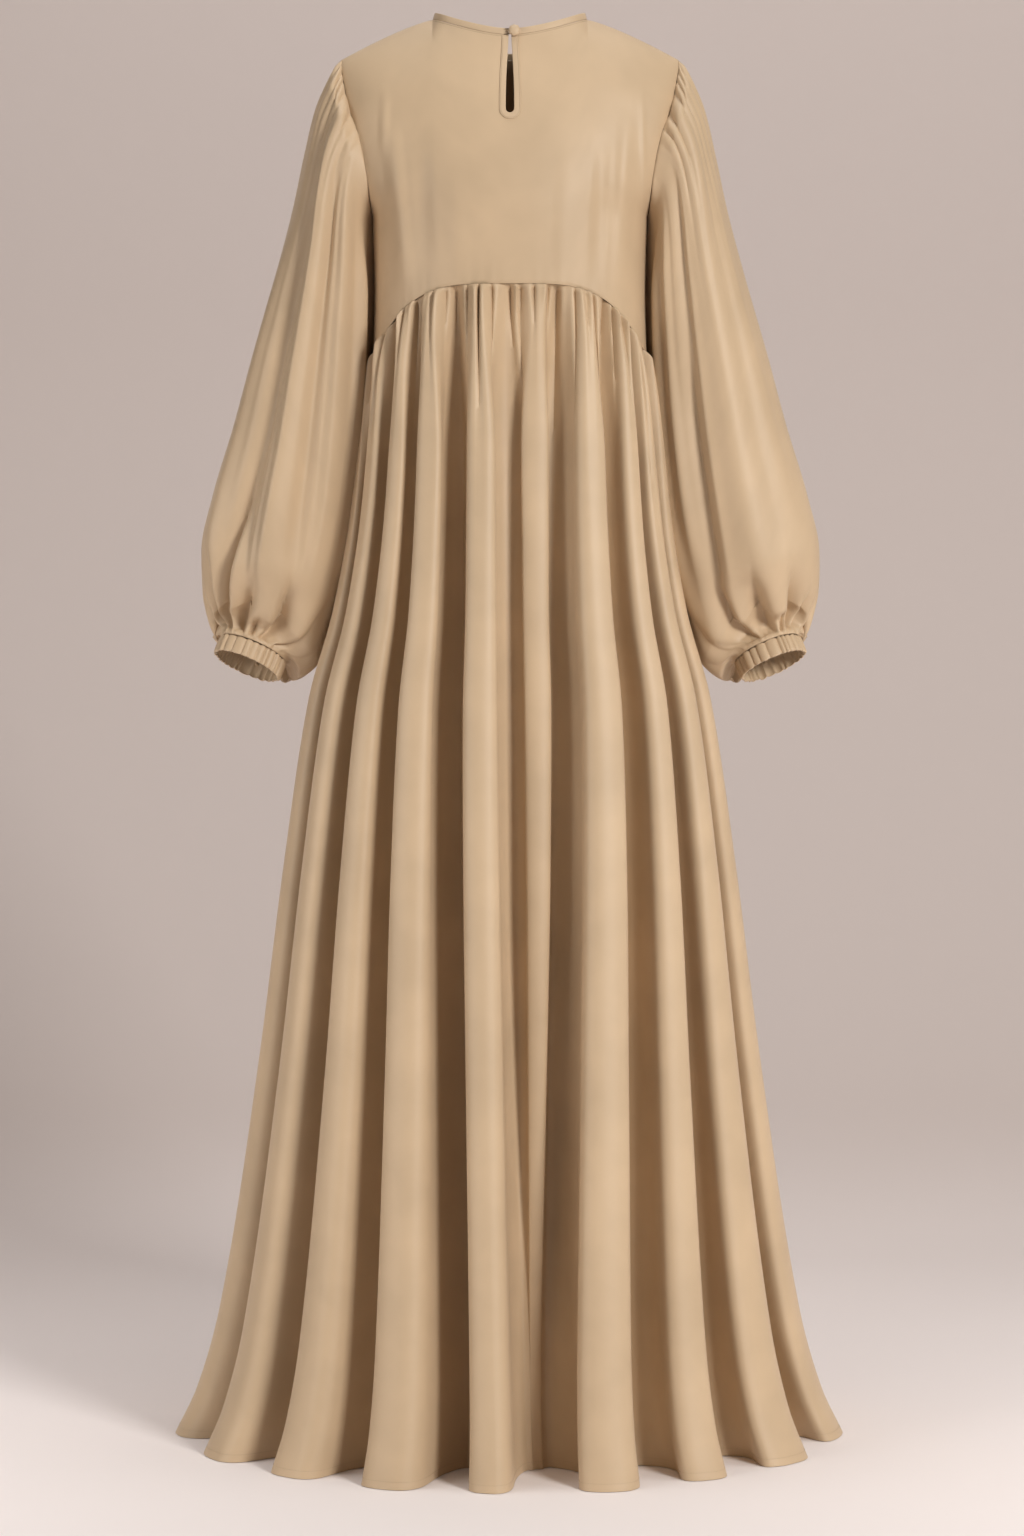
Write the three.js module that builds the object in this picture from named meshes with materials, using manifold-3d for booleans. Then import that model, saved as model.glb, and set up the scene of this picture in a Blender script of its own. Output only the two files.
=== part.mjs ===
// A long abaya with an empire seam, a gathered skirt and bishop sleeves, worn by nobody.
// Each cut and sewn piece is its own closed solid: a thin wall of cloth around an open hollow.
// Millimetres, +Z up. The front faces -Y and the wearer's left is +X. The origin is on the
// centre line, level with the highest points of the neck seam.

import * as THREE from "three";
import { mergeVertices } from "three/addons/utils/BufferGeometryUtils.js";
import Module from "manifold-3d";

// ---- Driving sizes ----

const wall = 1.4; // thickness of the cloth's wall
const seamGap = 0.3; // clear distance between sewn pieces
const gatheredSeamGap = 0.5; // the same where a gathered edge meets a plain one
const hemLevel = -1550;

const neckHalfWidth = 84;
const backNeckDrop = 20;
const frontNeckDrop = 38;
const napeRise = 60; // how far the shoulder line would climb inside the neck
const backNeckCurve = 1.6; // power of the neck seam's curve: over 1 its middle is flat
const frontNeckCurve = 2;
const shoulderHalfWidth = 183;
const shoulderDrop = 43;
const shoulderCurve = 1.25; // power of the shoulder line: over 1 it steepens outwards
const shoulderRounding = 80; // height over which the shoulder rounds to its full depth

const underarmLevel = -215;
const empireLevel = -287.5; // empire seam at the centre
const empireArch = 79.5; // how much lower the seam runs at the sides
const empireCurve = 4; // power of the seam's arch: over 1 its middle is flat
const empireHalfWidth = 150;
const edgeRowShare = 1.5; // over 1 the bodice's rows follow its side edge only near that edge
const armholeSteps = 9; // rows of the bodice along each half of the armhole
const sideSeamSteps = 3; // rows from the underarm to the empire seam
const neckSteps = 6; // columns from the centre to the neck's end
const shoulderSteps = 8; // columns from there to the shoulder's end

const gatherDepth = 2.2;
const gatherLength = 55; // height over which a gather fades
const foldAtSeam = 0.03; // share of a skirt fold's hem depth that is there at the seam
const foldGrowth = 0.85;
const foldFullness = 0.9; // 1 gives a fold upright sides
const crestBreadth = 0.7; // under 1 the crests are broad and the troughs narrow

const gathersPerSleeve = 18;
const headGatherDepth = 1.6;

const cuffHalfWidth = 38;
const cuffHalfDepth = 33;
const cuffHeight = 21;
const cuffWall = 1.8;
const cuffTurn = THREE.MathUtils.degToRad(21.5); // the outer side of the cuff is the higher one
const cuffPitch = THREE.MathUtils.degToRad(23); // and so is its back
const cuffSeamCentre = new THREE.Vector3(283, -8, -686);
const cuffRibDepth = 0.9;
const cuffRows = 3;

const bandHeight = 7.7;
const bandWall = 1.8;
const bandLean = THREE.MathUtils.degToRad(14);
const bandOpening = 3;

const keyholeBottom = -105;
const keyholeHalfWidth = 4.5;
const keyholeTopHalfWidth = 1.5;
const bindingWidth = 7;
const bindingWall = 1;
const keyholeTopInset = 1.5; // how far under the neck seam its outline starts
const keyholeTopBend = { x: 1, z: 25 }; // where each side's curve leaves the top
const keyholeSideBend = 40; // height over which its sides run straight into the round end
const keyholeSteps = 20; // parts of the binding along the outline

const buttonRadius = 6.5;
const buttonCentre = { x: -4.8, z: -16.5 };
const buttonTilt = THREE.MathUtils.degToRad(20);
const buttonInset = 0.5; // how far the shank's foot lies behind the neck seam, on the leaning band
const shankLength = 2.3;
const shankRadius = 1.6;
const loopRadius = 0.7;
const loopReach = 10; // from the shank to the loop's ends on the band

// The button's profile: how far inside its rim and how far above its shank.
const buttonProfile = [
  { inside: 1, height: 0 },
  { inside: 0, height: 1.1 },
  { inside: 0.3, height: 2.5 },
  { inside: 1.6, height: 4 },
  { inside: 3.6, height: 4.9 },
  { inside: buttonRadius, height: 5.3 },
];
const buttonSides = 14;

// ---- Tables ----

// The body of the garment at each level: half width, depth behind and before the side seams,
// and how square the section is.
const bodyRows = [
  { z: -1550, side: 327, back: 269, front: 262, square: 2.05 },
  { z: -1500, side: 304, back: 260, front: 254, square: 2.05 },
  { z: -1412, side: 281, back: 246, front: 242, square: 2.06 },
  { z: -1136, side: 243, back: 207, front: 206, square: 2.1 },
  { z: -915, side: 220, back: 177, front: 180, square: 2.15 },
  { z: -739, side: 198, back: 153, front: 158, square: 2.2 },
  { z: -640, side: 174, back: 140, front: 146, square: 2.25 },
  { z: -540, side: 160, back: 127, front: 134, square: 2.3 },
  { z: -450, side: 154, back: 116, front: 124, square: 2.3 },
  { z: -367, side: 150, back: 107, front: 118, square: 2.3 },
  { z: -300, side: 148, back: 105, front: 118, square: 2.3 },
  { z: -215, side: 150, back: 106, front: 120, square: 2.3 },
  { z: -175, side: 172, back: 102, front: 117, square: 2.3 },
  { z: -127, side: 186, back: 91, front: 108, square: 2.3 },
  { z: -80, side: 189, back: 75, front: 93, square: 2.3 },
  { z: -54, side: 190, back: 64, front: 84, square: 2.3 },
  { z: -20, side: 191, back: 50, front: 68, square: 2.3 },
  { z: 0, side: 192, back: 42, front: 55, square: 2.3 },
];

// How far from the centre the bodice is cut at each level, down the armhole and the side seam.
const bodiceEdgeRows = [
  { z: -367, x: 150 },
  { z: -300, x: 148 },
  { z: -215, x: 150 },
  { z: -190, x: 152 },
  { z: -163, x: 155.5 },
  { z: -127, x: 163 },
  { z: -97, x: 174 },
  { z: -54, x: 183 },
];

// Share of the bodice's height at each of its rows, at the centre.
const bodiceRowShares = [0, 0.018, 0.07, 0.14, 0.22, 0.31, 0.4, 0.48, 0.56, 0.64, 0.76, 0.88, 1];

// Soft upright folds of the bodice: where each starts and ends, its half width and its height.
const bodiceFolds = {
  back: [
    { topX: 128, topZ: -110, endX: 112, endZ: -306, halfWidth: 15, height: 5 },
    { topX: 96, topZ: -120, endX: 90, endZ: -298, halfWidth: 14, height: -4 },
    { topX: -126, topZ: -100, endX: -118, endZ: -306, halfWidth: 14, height: 5 },
    { topX: -100, topZ: -125, endX: -92, endZ: -298, halfWidth: 13, height: -3.5 },
  ],
  front: [
    { topX: 118, topZ: -110, endX: 100, endZ: -296, halfWidth: 15, height: 4 },
    { topX: -120, topZ: -105, endX: -104, endZ: -298, halfWidth: 15, height: 4 },
  ],
};

// Crests and troughs of the skirt from the left side seam to the right one: the angle of each
// at the empire seam and at the hem (0 is the centre), how far it stands out at the hem, what
// that would be from its upper part if it dies away, and the number of columns to the next.
const skirtFolds = {
  back: [
    { seam: 90, hem: 90, height: -16, columns: 4 },
    { seam: 80, hem: 83, height: 46, columns: 4 },
    { seam: 71, hem: 70, height: -44, columns: 4 },
    { seam: 62, hem: 58, height: 48, columns: 3 },
    { seam: 54, hem: 48, height: -44, columns: 3 },
    { seam: 46, hem: 38, height: 50, columns: 3 },
    { seam: 38.5, hem: 28.5, height: -42, columns: 3 },
    { seam: 31.4, hem: 18.8, height: 56, columns: 4 },
    { seam: 20, hem: 9, height: -60, columns: 4 },
    { seam: 10.3, hem: 2.2, height: 56, columns: 4 },
    { seam: 1, hem: -3.6, height: -50, columns: 4 },
    { seam: -8.4, hem: -5.8, upper: -8, height: -54, columns: 4 },
    { seam: -18, hem: -8, height: -62, columns: 4 },
    { seam: -29.7, hem: -17.5, height: 60, columns: 4 },
    { seam: -41, hem: -27.5, height: -46, columns: 4 },
    { seam: -50.8, hem: -36, height: 48, columns: 3 },
    { seam: -57.5, hem: -45, height: -44, columns: 3 },
    { seam: -63.8, hem: -57, height: 48, columns: 3 },
    { seam: -72, hem: -70, height: -40, columns: 3 },
    { seam: -80, hem: -83, height: 44, columns: 4 },
    { seam: -90, hem: -90, height: -16, columns: 0 },
  ],
  front: [
    { seam: 90, hem: 90, height: -16, columns: 4 },
    { seam: 81, hem: 76, height: 40, columns: 3 },
    { seam: 73, hem: 67, height: -42, columns: 4 },
    { seam: 64, hem: 56, height: 46, columns: 4 },
    { seam: 55, hem: 45, height: -46, columns: 4 },
    { seam: 45.5, hem: 35, height: 50, columns: 4 },
    { seam: 36, hem: 26, height: -48, columns: 3 },
    { seam: 27, hem: 17, height: 55, columns: 4 },
    { seam: 17.5, hem: 8.5, height: -52, columns: 4 },
    { seam: 8, hem: 0.5, height: 50, columns: 4 },
    { seam: -1.5, hem: -7, height: -44, columns: 3 },
    { seam: -11, hem: -15, height: 54, columns: 4 },
    { seam: -21, hem: -24, height: -50, columns: 4 },
    { seam: -30.5, hem: -33, height: 50, columns: 4 },
    { seam: -40, hem: -42.5, height: -48, columns: 3 },
    { seam: -49.5, hem: -51.5, height: 46, columns: 3 },
    { seam: -58, hem: -60, height: -42, columns: 3 },
    { seam: -66, hem: -67.5, height: 40, columns: 3 },
    { seam: -73.5, hem: -74, height: -30, columns: 3 },
    { seam: -81.5, hem: -78, height: 36, columns: 4 },
    { seam: -90, hem: -90, height: -16, columns: 0 },
  ],
};

// Share of the skirt's length at each of its rows.
const skirtRowShares = [0, 0.013, 0.034, 0.07, 0.13, 0.22, 0.34, 0.48, 0.64, 0.8, 0.92, 1];

// Sections of a sleeve between the armhole and the cuff: its outer and inner edge seen from
// the back, half its depth, the level of its middle along Y, its pitch in degrees, and how much
// of a gather shows there.
const sleeveRows = [
  { outX: 197, outZ: -66, inX: 153, inZ: -222, depth: 61, y: 0, pitch: 0, gather: 1 },
  { outX: 211, outZ: -97, inX: 156, inZ: -237, depth: 62, y: 0, pitch: 0, gather: 0.6 },
  { outX: 224, outZ: -147, inX: 157, inZ: -266, depth: 62, y: -1, pitch: 0, gather: 0.2 },
  { outX: 238, outZ: -209, inX: 157, inZ: -309, depth: 61, y: -2, pitch: 0, gather: 0 },
  { outX: 258, outZ: -282, inX: 158, inZ: -364, depth: 62, y: -3, pitch: 0, gather: 0 },
  { outX: 281, outZ: -360, inX: 160, inZ: -425, depth: 64, y: -4, pitch: 1, gather: 0 },
  { outX: 303, outZ: -440, inX: 166, inZ: -492, depth: 67, y: -5, pitch: 2, gather: 0 },
  { outX: 326, outZ: -515, inX: 174, inZ: -556, depth: 70, y: -6, pitch: 4, gather: 0 },
  { outX: 340, outZ: -578, inX: 185, inZ: -618, depth: 72, y: -7, pitch: 10, gather: 0.1 },
  { outX: 341, outZ: -622, inX: 196, inZ: -664, depth: 66, y: -8, pitch: 20, gather: 0.4 },
  { outX: 334, outZ: -654, inX: 211, inZ: -700, depth: 55, y: -8, pitch: 30, gather: 1 },
  { outX: 325, outZ: -669, inX: 231, inZ: -711, depth: 46, y: -11, pitch: 40, gather: 1.5 },
];
const sleeveGatherDepth = 1.8;
const sleeveOverCuff = { out: 3, up: 3 }; // the sleeve's last roll, round and above the cuff
const headTurnStart = 0.45; // share of the armhole's height where the sleeve starts to turn under

// Long folds of a sleeve: angle round the sleeve at the head and at the cuff (0 is its outer
// edge, 90 its back), half width in degrees and height.
const sleeveFolds = [
  { head: 48, end: 60, halfWidth: 16, height: -5 },
  { head: 66, end: 80, halfWidth: 18, height: 6 },
  { head: 92, end: 110, halfWidth: 20, height: -6 },
  { head: 128, end: 152, halfWidth: 22, height: 4 },
  { head: -58, end: -66, halfWidth: 20, height: -5 },
  { head: -84, end: -96, halfWidth: 20, height: 6 },
  { head: -112, end: -124, halfWidth: 20, height: -5 },
];

// ---- Interpolation ----

const lerp = THREE.MathUtils.lerp;
const radians = THREE.MathUtils.degToRad;

// Straight lines between a table's rows, which are in rising order of the column `key`.
function onLines(rows, key, at, column) {
  let row = 0;
  while (row < rows.length - 2 && rows[row + 1][key] < at) row += 1;
  const share = (at - rows[row][key]) / (rows[row + 1][key] - rows[row][key]);
  return lerp(rows[row][column], rows[row + 1][column], THREE.MathUtils.clamp(share, 0, 1));
}

// A smooth curve through a table's rows that never swings past them.
function onCurve(rows, key, at, column) {
  const count = rows.length;
  const clamped = THREE.MathUtils.clamp(at, rows[0][key], rows[count - 1][key]);
  let row = 0;
  while (row < count - 2 && rows[row + 1][key] < clamped) row += 1;
  const slope = (i) => (rows[i + 1][column] - rows[i][column]) / (rows[i + 1][key] - rows[i][key]);
  const tangent = (i) => {
    if (i === 0) return slope(0);
    if (i === count - 1) return slope(count - 2);
    const before = slope(i - 1);
    const after = slope(i);
    return before * after <= 0 ? 0 : (2 * before * after) / (before + after);
  };
  const span = rows[row + 1][key] - rows[row][key];
  const t = (clamped - rows[row][key]) / span;
  const t2 = t * t;
  const t3 = t2 * t;
  return (2 * t3 - 3 * t2 + 1) * rows[row][column] + (t3 - 2 * t2 + t) * span * tangent(row)
    + (3 * t2 - 2 * t3) * rows[row + 1][column] + (t3 - t2) * span * tangent(row + 1);
}

const bodySize = (z, column) => onCurve(bodyRows, "z", z, column);

// A round bump of height 1 that is 0 outside its half width.
const bump = (distance, halfWidth) =>
  (Math.abs(distance) >= halfWidth ? 0 : 0.5 + 0.5 * Math.cos((Math.PI * distance) / halfWidth));

// ---- Walls of cloth ----

// Unit normals of a grid of points, from each point's neighbours. They point away from `core`,
// which gives a point inside the hollow for each row.
function gridNormals(grid, isRound, core) {
  const last = grid[0].length - 1;
  let agreement = 0;
  const normals = grid.map((row, r) => row.map((point, c) => {
    const left = isRound ? row[(c + last) % (last + 1)] : row[Math.max(c - 1, 0)];
    const right = isRound ? row[(c + 1) % (last + 1)] : row[Math.min(c + 1, last)];
    const above = grid[Math.max(r - 1, 0)][c];
    const below = grid[Math.min(r + 1, grid.length - 1)][c];
    const along = right.clone().sub(left);
    const normal = along.cross(below.clone().sub(above)).normalize();
    agreement += normal.dot(point.clone().sub(core(r)).normalize());
    return normal;
  }));
  if (agreement < 0) normals.forEach((row) => row.forEach((normal) => normal.negate()));
  return normals;
}

// The closed wall between a grid of outer points and the same points moved in.
function clothWall(outer, normals, thickness, isRound = false) {
  const rows = outer.length;
  const columns = outer[0].length;
  const inner = outer.map((row, r) =>
    row.map((point, c) => point.clone().addScaledVector(normals[r][c], -thickness)));
  const corners = [...outer.flat(), ...inner.flat()];
  const skin = rows * columns;
  const triangles = [];
  const quad = (a, b, c, d) => triangles.push(a, b, c, a, c, d);
  const at = (r, c) => r * columns + (c % columns);
  const spans = isRound ? columns : columns - 1;
  for (let c = 0; c < spans; c += 1) {
    for (let r = 0; r < rows - 1; r += 1) {
      quad(at(r, c), at(r + 1, c), at(r + 1, c + 1), at(r, c + 1));
      quad(skin + at(r, c), skin + at(r, c + 1), skin + at(r + 1, c + 1), skin + at(r + 1, c));
    }
    quad(at(0, c), at(0, c + 1), skin + at(0, c + 1), skin + at(0, c));
    quad(at(rows - 1, c + 1), at(rows - 1, c), skin + at(rows - 1, c), skin + at(rows - 1, c + 1));
  }
  if (!isRound) {
    const end = columns - 1;
    for (let r = 0; r < rows - 1; r += 1) {
      quad(at(r + 1, 0), at(r, 0), skin + at(r, 0), skin + at(r + 1, 0));
      quad(at(r, end), at(r + 1, end), skin + at(r + 1, end), skin + at(r, end));
    }
  }
  return { outer, inner, geometry: closedGeometry(corners, triangles) };
}

// A geometry of shared corners whose faces point out of the solid.
function closedGeometry(corners, triangles) {
  let volume = 0;
  for (let i = 0; i < triangles.length; i += 3) {
    const [a, b, c] = [corners[triangles[i]], corners[triangles[i + 1]], corners[triangles[i + 2]]];
    volume += a.dot(b.clone().cross(c));
  }
  const index = volume < 0 ? triangles.slice().reverse() : triangles;
  const geometry = new THREE.BufferGeometry();
  geometry.setAttribute("position", new THREE.Float32BufferAttribute(corners.flatMap((p) => p.toArray()), 3));
  geometry.setIndex(index);
  return geometry;
}

// ---- Bodice ----

// Level of the shoulder line at a distance from the centre. Inside the neck it climbs on.
function shoulderLevel(x) {
  const reach = Math.abs(x) / neckHalfWidth;
  if (reach < 1) return napeRise * (1 - reach * reach);
  const along = (Math.abs(x) - neckHalfWidth) / (shoulderHalfWidth - neckHalfWidth);
  return -shoulderDrop * along ** shoulderCurve;
}

function neckSeamLevel(face, x) {
  const reach = Math.abs(x) / neckHalfWidth;
  return face === "back"
    ? -backNeckDrop * (1 - reach ** backNeckCurve)
    : -frontNeckDrop * (1 - reach ** frontNeckCurve);
}

function bodiceFoldHeight(face, x, z) {
  return bodiceFolds[face].reduce((sum, fold) => {
    const down = (z - fold.topZ) / (fold.endZ - fold.topZ);
    if (down <= 0 || down >= 1) return sum;
    const away = x - lerp(fold.topX, fold.endX, down);
    return sum + fold.height * Math.sin(Math.PI * down) * bump(away, fold.halfWidth);
  }, 0);
}

// Distance of the torso's surface before or behind the side seams.
function torsoDepth(face, x, z) {
  const square = bodySize(z, "square");
  const reach = Math.min(Math.abs(x) / bodySize(z, "side"), 1);
  const below = THREE.MathUtils.clamp((shoulderLevel(x) - z) / shoulderRounding, 0, 1);
  const rounding = Math.sqrt(1 - (1 - below) ** 2);
  return bodySize(z, face) * (1 - reach ** square) ** (1 / square) * rounding + bodiceFoldHeight(face, x, z);
}

const faceSign = { back: 1, front: -1 };
const bodiceColumns = neckSteps + shoulderSteps;
const bodiceRows = armholeSteps + sideSeamSteps;

// Distance from the centre of a bodice column, as a share of the panel's half width.
function bodiceColumnShare(column, down) {
  const quarter = Math.PI / 2;
  const atTop = column <= neckSteps
    ? (neckHalfWidth / shoulderHalfWidth) * Math.sin((quarter * column) / neckSteps)
    : lerp(neckHalfWidth / shoulderHalfWidth, 1, Math.sin((quarter * (column - neckSteps)) / shoulderSteps));
  const atSeam = Math.sin((quarter * column) / bodiceColumns);
  return lerp(atTop, atSeam, THREE.MathUtils.smoothstep(down, 0, 1));
}

function bodiceEdgeLevel(row) {
  if (row <= armholeSteps) {
    const middle = (underarmLevel - shoulderDrop) / 2;
    return middle + ((-shoulderDrop - underarmLevel) / 2) * Math.cos((Math.PI * row) / armholeSteps);
  }
  return lerp(underarmLevel, empireLevel - empireArch, (row - armholeSteps) / sideSeamSteps);
}

const empireSeamLevel = (x) =>
  empireLevel - empireArch * (Math.abs(x) / empireHalfWidth) ** empireCurve;

function bodicePoint(face, signedColumn, row) {
  const column = Math.abs(signedColumn);
  const edgeLevel = bodiceEdgeLevel(row);
  const edgeShare = (edgeLevel + shoulderDrop) / (empireLevel - empireArch + shoulderDrop);
  const across = bodiceColumnShare(column, row / bodiceRows);
  const x = across * onCurve(bodiceEdgeRows, "z", edgeLevel, "x");
  const topX = bodiceColumnShare(column, 0) * shoulderHalfWidth;
  const top = topX < neckHalfWidth ? neckSeamLevel(face, topX) : shoulderLevel(topX);
  const bottom = empireSeamLevel(bodiceColumnShare(column, 1) * empireHalfWidth);
  const z = lerp(top, bottom, lerp(bodiceRowShares[row], edgeShare, across ** edgeRowShare));
  const depth = Math.max(torsoDepth(face, x, z), seamGap / 2);
  return new THREE.Vector3(Math.sign(signedColumn) * x, faceSign[face] * depth, z);
}

function bodicePanel(face) {
  const grid = [];
  for (let row = 0; row <= bodiceRows; row += 1) {
    grid.push([]);
    for (let column = -bodiceColumns; column <= bodiceColumns; column += 1) {
      grid[row].push(bodicePoint(face, column, row));
    }
  }
  const normals = gridNormals(grid, false, () => new THREE.Vector3(0, -60 * faceSign[face], -200));
  const last = 2 * bodiceColumns;
  normals.forEach((row, r) => row.forEach((normal, c) => {
    const onShoulder = r === 0 && Math.abs(c - bodiceColumns) >= neckSteps;
    const onSideSeam = (c === 0 || c === last) && r >= armholeSteps;
    if (onShoulder || onSideSeam) normal.y = 0;
    if (r === bodiceRows) normal.z = 0;
    normal.normalize();
  }));
  return clothWall(grid, normals, wall);
}

// ---- Keyhole and its binding ----

// The keyhole's outline on the back, drawn in X and Z: down the left side, round, and up.
function keyholeOutline() {
  const top = neckSeamLevel("back", 0) - keyholeTopInset;
  const turn = keyholeBottom + keyholeHalfWidth;
  const upper = [keyholeTopHalfWidth + keyholeTopBend.x, top - keyholeTopBend.z];
  const lower = [keyholeHalfWidth, turn + keyholeSideBend];
  const outline = new THREE.Path();
  outline.moveTo(keyholeTopHalfWidth, top);
  outline.bezierCurveTo(upper[0], upper[1], lower[0], lower[1], keyholeHalfWidth, turn);
  outline.absarc(0, turn, keyholeHalfWidth, 0, Math.PI, true);
  outline.bezierCurveTo(-lower[0], lower[1], -upper[0], upper[1], -keyholeTopHalfWidth, top);
  return outline;
}

const manifoldLibrary = await Module();
manifoldLibrary.setup();

function toManifold(geometry) {
  const bare = geometry.clone();
  bare.deleteAttribute("normal");
  bare.deleteAttribute("uv");
  const merged = mergeVertices(bare);
  const mesh = new manifoldLibrary.Mesh({
    numProp: 3,
    vertProperties: merged.attributes.position.array,
    triVerts: new Uint32Array(merged.index.array),
  });
  return new manifoldLibrary.Manifold(mesh);
}

function fromManifold(solid) {
  const mesh = solid.getMesh();
  const geometry = new THREE.BufferGeometry();
  geometry.setAttribute("position", new THREE.Float32BufferAttribute(mesh.vertProperties, 3));
  geometry.setIndex([...mesh.triVerts]);
  return geometry;
}

function cutKeyhole(panelGeometry) {
  const shape = new THREE.Shape(keyholeOutline().getPoints(8));
  const neckClearance = 20;
  shape.lineTo(-keyholeTopHalfWidth, neckClearance);
  shape.lineTo(keyholeTopHalfWidth, neckClearance);
  const reach = 200;
  const cutter = new THREE.ExtrudeGeometry(shape, { depth: reach, bevelEnabled: false });
  cutter.rotateX(Math.PI / 2);
  cutter.translate(0, reach, 0);
  return fromManifold(toManifold(panelGeometry).subtract(toManifold(cutter)));
}

function keyholeBinding() {
  const outline = keyholeOutline();
  const grid = [];
  for (let step = 0; step <= keyholeSteps; step += 1) {
    const edge = outline.getPointAt(step / keyholeSteps);
    const tangent = outline.getTangentAt(step / keyholeSteps);
    grid.push([0, 1].map((across) => {
      const x = edge.x - tangent.y * across * bindingWidth;
      const z = edge.y + tangent.x * across * bindingWidth;
      return new THREE.Vector3(x, torsoDepth("back", x, z) + seamGap + bindingWall, z);
    }));
  }
  const outwards = grid.map((row) => row.map(() => new THREE.Vector3(0, 1, 0)));
  return clothWall(grid, outwards, bindingWall).geometry;
}

// ---- Neck binding ----

// Points of the bodice's neck edge from the left end of the opening round the front.
function neckEdge(panels) {
  const pointAt = (face, column) => panels[face].outer[0][bodiceColumns + column];
  const opening = bandOpening / 2;
  const leftEnd = pointAt("back", 0).clone().lerp(pointAt("back", 1), opening / pointAt("back", 1).x);
  const points = [leftEnd];
  for (let column = 1; column < neckSteps; column += 1) points.push(pointAt("back", column));
  for (let column = neckSteps; column >= -neckSteps; column -= 1) {
    const point = pointAt("front", column).clone();
    if (Math.abs(column) === neckSteps) point.y = 0;
    points.push(point);
  }
  for (let column = -neckSteps + 1; column < 0; column += 1) points.push(pointAt("back", column));
  points.push(leftEnd.clone().setX(-leftEnd.x));
  return points;
}

function neckBinding(panels) {
  const edge = neckEdge(panels);
  const outwards = edge.map((point, i) => {
    const along = edge[Math.min(i + 1, edge.length - 1)].clone().sub(edge[Math.max(i - 1, 0)]);
    const level = new THREE.Vector3(along.y, -along.x, 0).normalize();
    return level.dot(point) < 0 ? level.negate() : level;
  });
  const lean = (i, upward, outward) =>
    outwards[i].clone().multiplyScalar(outward).add(new THREE.Vector3(0, 0, upward));
  const grid = [seamGap, bandHeight].map((height) => edge.map((point, i) =>
    point.clone().addScaledVector(lean(i, Math.cos(bandLean), -Math.sin(bandLean)), height)));
  const normal = edge.map((point, i) => lean(i, Math.sin(bandLean), Math.cos(bandLean)));
  return clothWall(grid, [normal, normal], bandWall).geometry;
}

// ---- Button and its loop ----

function buttonFrame() {
  const y = torsoDepth("back", 0, neckSeamLevel("back", 0));
  const seat = new THREE.Vector3(buttonCentre.x, y - buttonInset, buttonCentre.z);
  const facing = new THREE.Vector3(0, Math.cos(buttonTilt), Math.sin(buttonTilt));
  return { seat, facing };
}

function buttonGeometry() {
  const { seat, facing } = buttonFrame();
  const profile = [
    new THREE.Vector2(0, 0),
    new THREE.Vector2(shankRadius, 0),
    new THREE.Vector2(shankRadius, shankLength),
    ...buttonProfile.map((row) => new THREE.Vector2(buttonRadius - row.inside, shankLength + row.height)),
  ];
  const geometry = new THREE.LatheGeometry(profile, buttonSides);
  const turned = new THREE.Quaternion().setFromUnitVectors(new THREE.Vector3(0, 1, 0), facing);
  geometry.applyQuaternion(turned);
  return geometry.translate(seat.x, seat.y, seat.z);
}

// A cord loop from the left end of the band round the button's shank.
function buttonLoop() {
  const { seat, facing } = buttonFrame();
  const up = new THREE.Vector3(1, 0, 0).cross(facing).normalize();
  const around = shankRadius + gatheredSeamGap + loopRadius;
  const middle = seat.clone().addScaledVector(facing, shankLength / 2);
  const place = (x, height) =>
    middle.clone().add(new THREE.Vector3(x, 0, 0)).addScaledVector(up, height);
  const bend = around * Math.SQRT1_2;
  const path = new THREE.CatmullRomCurve3([
    place(loopReach, around), place(loopReach / 2, around), place(0, around), place(-bend, bend),
    place(-around, 0), place(-bend, -bend), place(0, -around), place(loopReach / 2, -around),
    place(loopReach, -around),
  ]);
  const section = new THREE.Shape();
  section.absarc(0, 0, loopRadius, 0, 2 * Math.PI, false);
  return new THREE.ExtrudeGeometry(section, { steps: 16, extrudePath: path, curveSegments: 3 });
}

// ---- Skirt ----

// A point of the body's outline and the way out from it, at an angle from the centre.
function bodyOutline(face, angle, z) {
  const square = bodySize(z, "square");
  const side = bodySize(z, "side");
  const depth = bodySize(z, face);
  const sine = Math.abs(Math.sin(angle));
  const cosine = Math.abs(Math.cos(angle));
  const x = side * sine ** (2 / square);
  const y = depth * cosine ** (2 / square);
  const outX = (x / side) ** (square - 1) / side;
  const outY = (y / depth) ** (square - 1) / depth;
  const out = new THREE.Vector3(Math.sign(angle) * outX, faceSign[face] * outY, 0).normalize();
  return { point: new THREE.Vector3(Math.sign(angle) * x, faceSign[face] * y, z), out };
}

// The fold and the share of the way to the next one at each column of a skirt panel.
function skirtColumns(face) {
  const columns = [];
  skirtFolds[face].forEach((fold, i) => {
    const next = skirtFolds[face][i + 1];
    for (let step = 0; step < fold.columns; step += 1) {
      columns.push({ fold, next, share: step / fold.columns });
    }
    if (!next) columns.push({ fold, next: fold, share: 0 });
  });
  return columns;
}

const foldHeight = (fold, down) =>
  lerp(fold.upper ?? fold.height, fold.height, THREE.MathUtils.smoothstep(down, 0.5, 1));

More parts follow.
